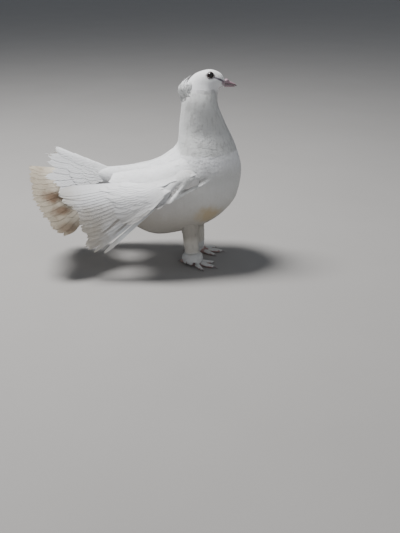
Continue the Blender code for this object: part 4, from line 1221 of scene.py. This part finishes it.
CREST_TIERS, CREST_COUNT = 11, 41
CREST_PITCH = 0.13                # step from tier to tier up the shell
CREST_START = 0.72                # p of the roots of the lowest tier
CREST_LENGTHS, CREST_LIFTS = (0.0075, 0.0118), (0.0016, 0.0034)
PLUME_WIDTH, PLUME_SUNK = 0.0028, 0.0020
CREST_POINT = slice(22, 24)       # plumes of each tier that make the upright point


def build_crest(finish):
    """Crest, feather by feather: tiers that rise from the nape, each over the next."""
    random = np.random.default_rng(41)
    count = CREST_COUNT
    parts = []
    for tier in range(CREST_TIERS):
        q = (np.arange(count) + 0.5 * (tier % 2)) / (count - 1) * 2.0 - 1.0
        q = q + random.normal(0, 0.02, count)
        p = CREST_START - CREST_PITCH * tier + random.normal(0, 0.03, count)
        length = random.uniform(*CREST_LENGTHS, count) * (1 - 0.25 * q**2)
        length[CREST_POINT] *= 1.0 + 0.07 * tier
        base = -PLUME_SUNK - 0.0012 * q**2
        parts.append(leaves(crest, p, q, length, np.full(count, PLUME_WIDTH), base,
                            random.uniform(*CREST_LIFTS, count), random, yaw=0.26, cup=0.20,
                            ragged=0.6, rise=0.6, flat=square_flat))
    add_feathers("crest_feathers", gathered(parts), finish, nodes=("crest",))


EYE_ROWS, EYE_COLS = 40, 48
LID_ROWS, LID_COLS = 64, 16


def build_eyeball(side, name, finish):
    """Eyeball with a bulging cornea, whose pole looks outwards and slightly up."""
    x, y, z = EYE_PLACE
    far = np.linspace(0, 1, EYE_ROWS)[:, None]
    turn = np.linspace(0, 2 * math.pi, EYE_COLS, endpoint=False)[None, :]
    tilt = math.pi * far
    swell = 1 + CORNEA * np.exp(-(tilt / 0.50)**2)
    ball = np.stack([np.sin(tilt) * np.cos(turn), side * np.cos(tilt) + 0 * turn,
                     np.sin(tilt) * np.sin(turn)], -1) * (EYE_RADIUS * swell)[..., None]
    across, out, up = np.moveaxis(ball[1:-1], -1, 0)
    lean = LID_LEAN * 0.6
    ball = np.stack([across, out * math.cos(lean) - side * up * math.sin(lean),
                     side * out * math.sin(lean) + up * math.cos(lean)], -1)
    points, faces = tube(placed(ball + np.array([x, side * y, z])))
    spin, share = np.broadcast_arrays(turn / FLAT_TURN, far[1:-1])
    vane = np.concatenate([np.stack([spin, share], -1).reshape(-1, 2), [[0.5, 0], [0.5, 1]]])
    add_piece("eyeball_" + name, points, turned_out(points, faces), finish, "eye",
              {"vane": vane, "OFBake": inset(vane)}, nodes=("eye_" + name,))


def build_lid(side, name, finish):
    """Pebbled rim round an eye, which leans with the side of the head."""
    x, _, z = EYE_PLACE
    around = np.linspace(0, 2 * math.pi, LID_ROWS, endpoint=False)[:, None]
    out = np.linspace(0, 2 * math.pi, LID_COLS, endpoint=False)[None, :]
    pebble = 1 + 0.10 * np.sin(around * LID_PEBBLES) * np.cos(out * 2)
    thick = (LID_THICK + 0.00012 * np.abs(np.cos(around))) * pebble
    reach_x = LID_RING * 1.06 + thick * np.cos(out)
    rise = (LID_RING * 0.98 + thick * np.cos(out)) * np.sin(around)
    away = LID_OUT - 0.0003 - math.tan(LID_LEAN) * rise + thick * np.sin(out)
    points = placed(np.stack([x + reach_x * np.cos(around), side * away, z + rise], -1)).reshape(-1, 3)
    faces = turned_out(points, grid_faces(LID_ROWS, LID_COLS, True, True))
    flat = inset(np.stack(np.broadcast_arrays(around / FLAT_TURN, out / FLAT_TURN), -1))
    add_piece("lid_" + name, points, faces, finish, "plumage", {"OFBake": flat.reshape(-1, 2)})


def beak_rings(rows, upper):
    """Rings of one half of the bill, flat along the mouth and rounded outside.

    The upper half swells at the cere and has a slit on each side for the nostril.
    """
    where = np.linspace(0, len(rows) - 1, BEAK_ROWS)
    x, top, low, width = (spline(rows, where)[:, i][:, None] for i in range(4))
    turn = np.linspace(0, 2 * math.pi, BEAK_COLS, endpoint=False)[None, :]
    high = np.cos(turn) + 0 * x
    flat_side = high < 0 if upper else high > 0
    high = np.where(flat_side, np.sign(high) * np.abs(high)**0.35, high)
    y = width * np.sign(np.sin(turn)) * np.abs(np.sin(turn))**0.9
    z = (top + low) / 2 + (top - low) / 2 * high
    if upper:
        cere = np.exp(-((x - CERE_X) / CERE_REACH)**2) * np.clip(np.cos(turn), 0, 1)**0.6
        z = z + 0.0006 * cere
        y = y * (1 + 0.14 * cere)
        slit = np.exp(-((x - NOSTRIL_X) / NOSTRIL_REACH)**2
                      - ((np.abs(turn - math.pi) - 2.0) / 0.16)**2)
        y = y * (1 - 0.42 * slit)
    return placed(np.stack([x + 0 * turn, y, z], -1))


def build_beak(finish):
    """Both halves of the bill."""
    flat = np.stack(np.meshgrid(np.linspace(0.02, 0.98, BEAK_ROWS), np.linspace(0.02, 0.98, BEAK_COLS),
                                indexing="ij"), -1).reshape(-1, 2)
    maps = {"OFBake": np.concatenate([flat, [[0.01, 0.5], [0.99, 0.5]]])}
    for name, rows in (("upper", UPPER_BEAK), ("lower", LOWER_BEAK)):
        points, faces = tube(beak_rings(rows, name == "upper"))
        add_piece("bill_" + name, points, turned_out(points, faces), finish, "beak", maps,
                  nodes=("beak_" + name,))


HUB_ROWS, HUB_COLS = 10, 28
TOE_ROWS, CLAW_ROWS, TOE_COLS = 48, 16, 20
# Where a toe ends and its claw begins and ends, as row numbers of the toe's profile.
TOE_STOP, CLAW_START, CLAW_STOP = 3.2, 3.0, 5.0


def toe_turn(side, name):
    """Turn of a toe in degrees; the feet are mirror images of each other."""
    return FEET[side][2] + TOE_TURNS[name] * (1 if side == "right" else -1)


def toe_axes(turn):
    """Directions along a toe and to its left."""
    angle = math.radians(turn)
    return (np.array([math.cos(angle), math.sin(angle), 0]),
            np.array([-math.sin(angle), math.cos(angle), 0]))


def toe_rings(place, turn, length, start, stop, rows, scaled):
    """Rings of a toe or its claw; a scaled one has raised scutes across its upper side."""
    ahead, aside = toe_axes(turn)
    share, height, size = np.moveaxis(spline(TOE_PROFILE, np.linspace(start, stop, rows)), -1, 0)
    around = np.linspace(0, 2 * math.pi, TOE_COLS, endpoint=False)
    scute = np.abs(np.sin(share * length / SCUTE_PITCH * math.pi))[:, None]**0.6
    bumpy = 1 + 0.07 * (scute - 0.5) * np.clip(np.cos(around), 0, 1) * scaled
    radius = (TOE_RADIUS * size)[:, None] * bumpy
    ring = (ahead * (length * share)[:, None, None]
            + aside * (radius * np.sin(around))[..., None]
            + (height[:, None] + radius * np.cos(around))[..., None] * np.array([0, 0, 1.0]))
    ring[..., 2] = np.maximum(ring[..., 2], FLOOR_CLEAR)
    return ring + np.array([place[0] - CENTRE_X, place[1], 0])


def build_foot(side, skin, horn):
    """Ball of the foot with four scaled toes, and their claws."""
    x, y, _ = FEET[side]
    heights = np.linspace(FLOOR_CLEAR, ANKLE_HEIGHT, HUB_ROWS)[:, None]
    turn = np.linspace(0, 2 * math.pi, HUB_COLS, endpoint=False)[None, :]
    radius = HUB_RADIUS - 0.0010 * ((heights - 0.003) / 0.0042)**2
    hub = np.stack([x - CENTRE_X + radius * np.cos(turn), y + radius * np.sin(turn),
                    heights + 0 * turn], -1)
    toes, claws = [tube(hub)], []
    for name, length in TOE_LENGTHS.items():
        turned = toe_turn(side, name)
        toes.append(tube(toe_rings((x, y), turned, length, 0, TOE_STOP, TOE_ROWS, True)))
        claws.append(tube(toe_rings((x, y), turned, length, CLAW_START, CLAW_STOP, CLAW_ROWS, False)))
    for title, parts, finish, nodes in (("toes_", toes, skin, ("foot_" + side,)),
                                        ("claws_", claws, horn, ())):
        points, faces = joined([(a, turned_out(a, b)) for a, b in parts])
        low, high = points.min(0), points.max(0)
        flat = inset(((points - low) / (high - low))[:, :2])
        add_piece(title + side, points, faces, finish, "toe_skin", {"OFBake": flat}, nodes=nodes)


# Feathers of the legs: number round a leg or the muff and over a toe.
RING_COUNT, SLEEVE_COUNT = 20, 6
# Heights of the lowest and the highest roots on a leg, and the step between their rings.
SHANK_ROWS = (0.013, 0.074, 0.0026)
# Muff: radius at its top, swell, height of its middle and half its height.
MUFF_NECK, MUFF_SWELL, MUFF_MIDDLE, MUFF_HALF = 0.0045, 0.0090, 0.0098, 0.0088
MUFF_STARTS = (0.0, 0.14, 0.28, 0.42, 0.56)
# Feathers over a toe: radius of their arch, its taper, height of its axis, and where each
# tier starts.
SLEEVE_RADIUS, SLEEVE_TAPER, SLEEVE_HEIGHT = 0.0036, 0.60, 0.0032
SLEEVE_STARTS = (0.0, 0.16, 0.34, 0.52)


def shank_leaves(side, random):
    """Feathers down a leg, in staggered rings."""
    def shank(p, q):
        """Leg at height p and angle q."""
        return leg_ring(side, *np.broadcast_arrays(p, q))

    count = RING_COUNT
    heights = np.arange(*SHANK_ROWS)
    row = np.arange(len(heights))[:, None]
    turn = (np.arange(count) + 0.5 * (row % 2)) / count * 2 * math.pi
    p = np.repeat(heights, count) + random.normal(0, 0.0004, turn.size)
    q = turn.ravel() + random.normal(0, 0.03, turn.size)
    return leaves(shank, p, q, random.uniform(0.0090, 0.0150, len(p)), np.full(len(p), 0.0040),
                  np.full(len(p), -0.0024), random.uniform(0.0022, 0.0031, len(p)), random,
                  yaw=0.24, cup=0.15, ragged=0.5, rise=0.6, flat=square_flat)


def muff_leaves(side, tier, start, random):
    """One tier of the ball of feathers round a foot."""
    x, y, _ = FEET[side]

    def bell(p, q):
        """Ball over the foot: -p runs out and down, -q goes round."""
        p, q = np.broadcast_arrays(p, q)
        fall = np.radians(-12 - 145 * p)
        reach = MUFF_NECK + MUFF_SWELL * np.sin(fall)
        return np.stack([x + reach * np.cos(-q) - CENTRE_X, y + reach * np.sin(-q),
                         MUFF_MIDDLE + MUFF_HALF * np.cos(fall)], -1)

    count = RING_COUNT
    q = (np.arange(count) + 0.5 * (tier % 2) + random.normal(0, 0.1, count)) / count
    return leaves(bell, np.full(count, -start), q * 2 * math.pi,
                  random.uniform(0.0075, 0.0100, count), np.full(count, 0.0052),
                  np.full(count, -0.0008), random.uniform(0.0014, 0.0026, count),
                  random, yaw=0.25, cup=0.2, ragged=0.5, rise=0.5, flat=square_flat)


def toe_leaves(side, name, tier, start, random):
    """One tier of the feathers that lie over a toe."""
    x, y, _ = FEET[side]
    ahead, aside = toe_axes(toe_turn(side, name))

    def sleeve(p, q):
        """Arch over the toe: -p runs out along it and q goes over it."""
        p, q = np.broadcast_arrays(p, q)
        size = SLEEVE_RADIUS * (1 - SLEEVE_TAPER * np.clip(-p, 0, 1)**1.5)
        run = TOE_LENGTHS[name] * (0.45 - 0.70 * p)
        height = SLEEVE_HEIGHT + 0.0010 * p + size * np.cos(q)
        place = np.array([x - CENTRE_X, y, 0]) + ahead * run[..., None]
        return (place - aside * (size * np.sin(q))[..., None]
                + np.array([0, 0, 1.0]) * height[..., None])

    count = SLEEVE_COUNT
    q = (np.arange(count) - 2.5 + 0.4 * (tier % 2)) / count * math.radians(165)
    return leaves(sleeve, np.full(count, -start), q + random.normal(0, 0.06, count),
                  random.uniform(0.0080, 0.0110, count), np.full(count, 0.0028),
                  np.full(count, -0.0008), np.full(count, 0.0010), random,
                  yaw=0.10, cup=0.20, ragged=0.4, flat=square_flat)


def build_leg_coat(side, finish):
    """Short feathers down the leg and over the toes, and the muff of the right foot."""
    random = np.random.default_rng(61 if side == "right" else 63)
    parts = [shank_leaves(side, random)]
    if side == "right":
        for tier, start in enumerate(MUFF_STARTS):
            parts.append(muff_leaves(side, tier, start, random))
    for name in ("inner", "middle", "outer"):
        for tier, start in enumerate(SLEEVE_STARTS):
            parts.append(toe_leaves(side, name, tier, start, random))
    made = gathered(parts)
    made[0][:, 2] = np.maximum(made[0][:, 2], 2 * FLOOR_CLEAR)
    add_feathers("leg_coat_" + side, made, finish)


# Lamps: name, place, diameter, watts and colour. Both face the middle of the bird.
LAMPS = (
    ("key", (-0.45, 0.20, 1.5), 0.5, 44, (1.0, 0.99, 0.98)),
    ("fill", (0.6, -1.5, 0.8), 1.6, 3, (1.0, 0.97, 0.93)),
)
BIRD_MIDDLE = (0, 0, 0.12)
SKY, SKY_POWER = (0.80, 0.86, 0.95, 1), 0.25
FLOOR_HALF = 15
# Camera: place, turn to the right, tilt downwards, and focal length in pixels of the photo.
CAMERA_PLACE = (-CENTRE_X, -1.0, 0.42)
CAMERA_YAW, CAMERA_PITCH = math.radians(5.155), math.radians(23.428)
FOCAL_PIXELS, PHOTO_HEIGHT = 763.8, 533
SENSOR = 36


def build_floor():
    """Large pale floor."""
    h = FLOOR_HALF
    mesh = bpy.data.meshes.new("floor")
    mesh.from_pydata([(-h, -h, 0), (h, -h, 0), (h, h, 0), (-h, h, 0)], [], [(0, 1, 2, 3)])
    floor = bpy.data.objects.new("floor", mesh)
    bpy.context.scene.collection.objects.link(floor)
    nodes = Nodes("floor")
    colour = nodes.mix(nodes.noise(6, 3), (0.36, 0.35, 0.34, 1), (0.33, 0.32, 0.31, 1))
    mesh.materials.append(nodes.finish(colour, 0.9))


def build_lights():
    """Soft overhead light with a weak fill and a dim sky."""
    world = bpy.data.worlds.new("studio")
    world.use_nodes = True
    sky = world.node_tree.nodes["Background"].inputs
    sky[0].default_value, sky[1].default_value = SKY, SKY_POWER
    bpy.context.scene.world = world
    for name, place, size, power, colour in LAMPS:
        data = bpy.data.lights.new(name, "AREA")
        data.shape, data.size, data.energy, data.color = "DISK", size, power, colour
        lamp = bpy.data.objects.new(name, data)
        lamp.location = place
        lamp.rotation_euler = aimed(place, BIRD_MIDDLE)
        bpy.context.scene.collection.objects.link(lamp)


def build_camera():
    """Camera at the photo's height and distance."""
    data = bpy.data.cameras.new("camera")
    data.sensor_width = SENSOR
    data.lens = SENSOR * FOCAL_PIXELS / PHOTO_HEIGHT
    data.clip_start = 0.02
    camera = bpy.data.objects.new("camera", data)
    camera.location = CAMERA_PLACE
    camera.rotation_euler = (math.pi / 2 - CAMERA_PITCH, 0, -CAMERA_YAW)
    bpy.context.scene.collection.objects.link(camera)
    bpy.context.scene.camera = camera


def aimed(place, target):
    """Rotation that points a lamp's -Z axis from its place to a target."""
    dx, dy, dz = (t - p for p, t in zip(place, target))
    return (math.atan2(math.hypot(dx, dy), -dz), 0, math.atan2(-dx, dy))


build_floor()
build_lights()
build_camera()
white = plumage("white_feathers", 0.30)
ruffled = plumage("crest_plumes", 0.7, True)
flight_white = flight_plumage("flight_feathers", False)
flight_soiled = flight_plumage("tail_feathers", True)
skin = skin_finish()
toe_skin, claw_horn = toe_finish(), claw_finish()
build_skin(skin)
build_coat(white)
for side in FEET:
    build_wing(side, white, flight_white, skin)
    build_foot(side, toe_skin, claw_horn)
    build_leg_coat(side, white)
build_tail(white, flight_soiled)
build_crest(ruffled)
eye, eyelid = eye_finish(), lid_finish()
for sign, side in ((-1, "right"), (1, "left")):
    build_eyeball(sign, side, eye)
    build_lid(sign, side, eyelid)
build_beak(horn_finish())
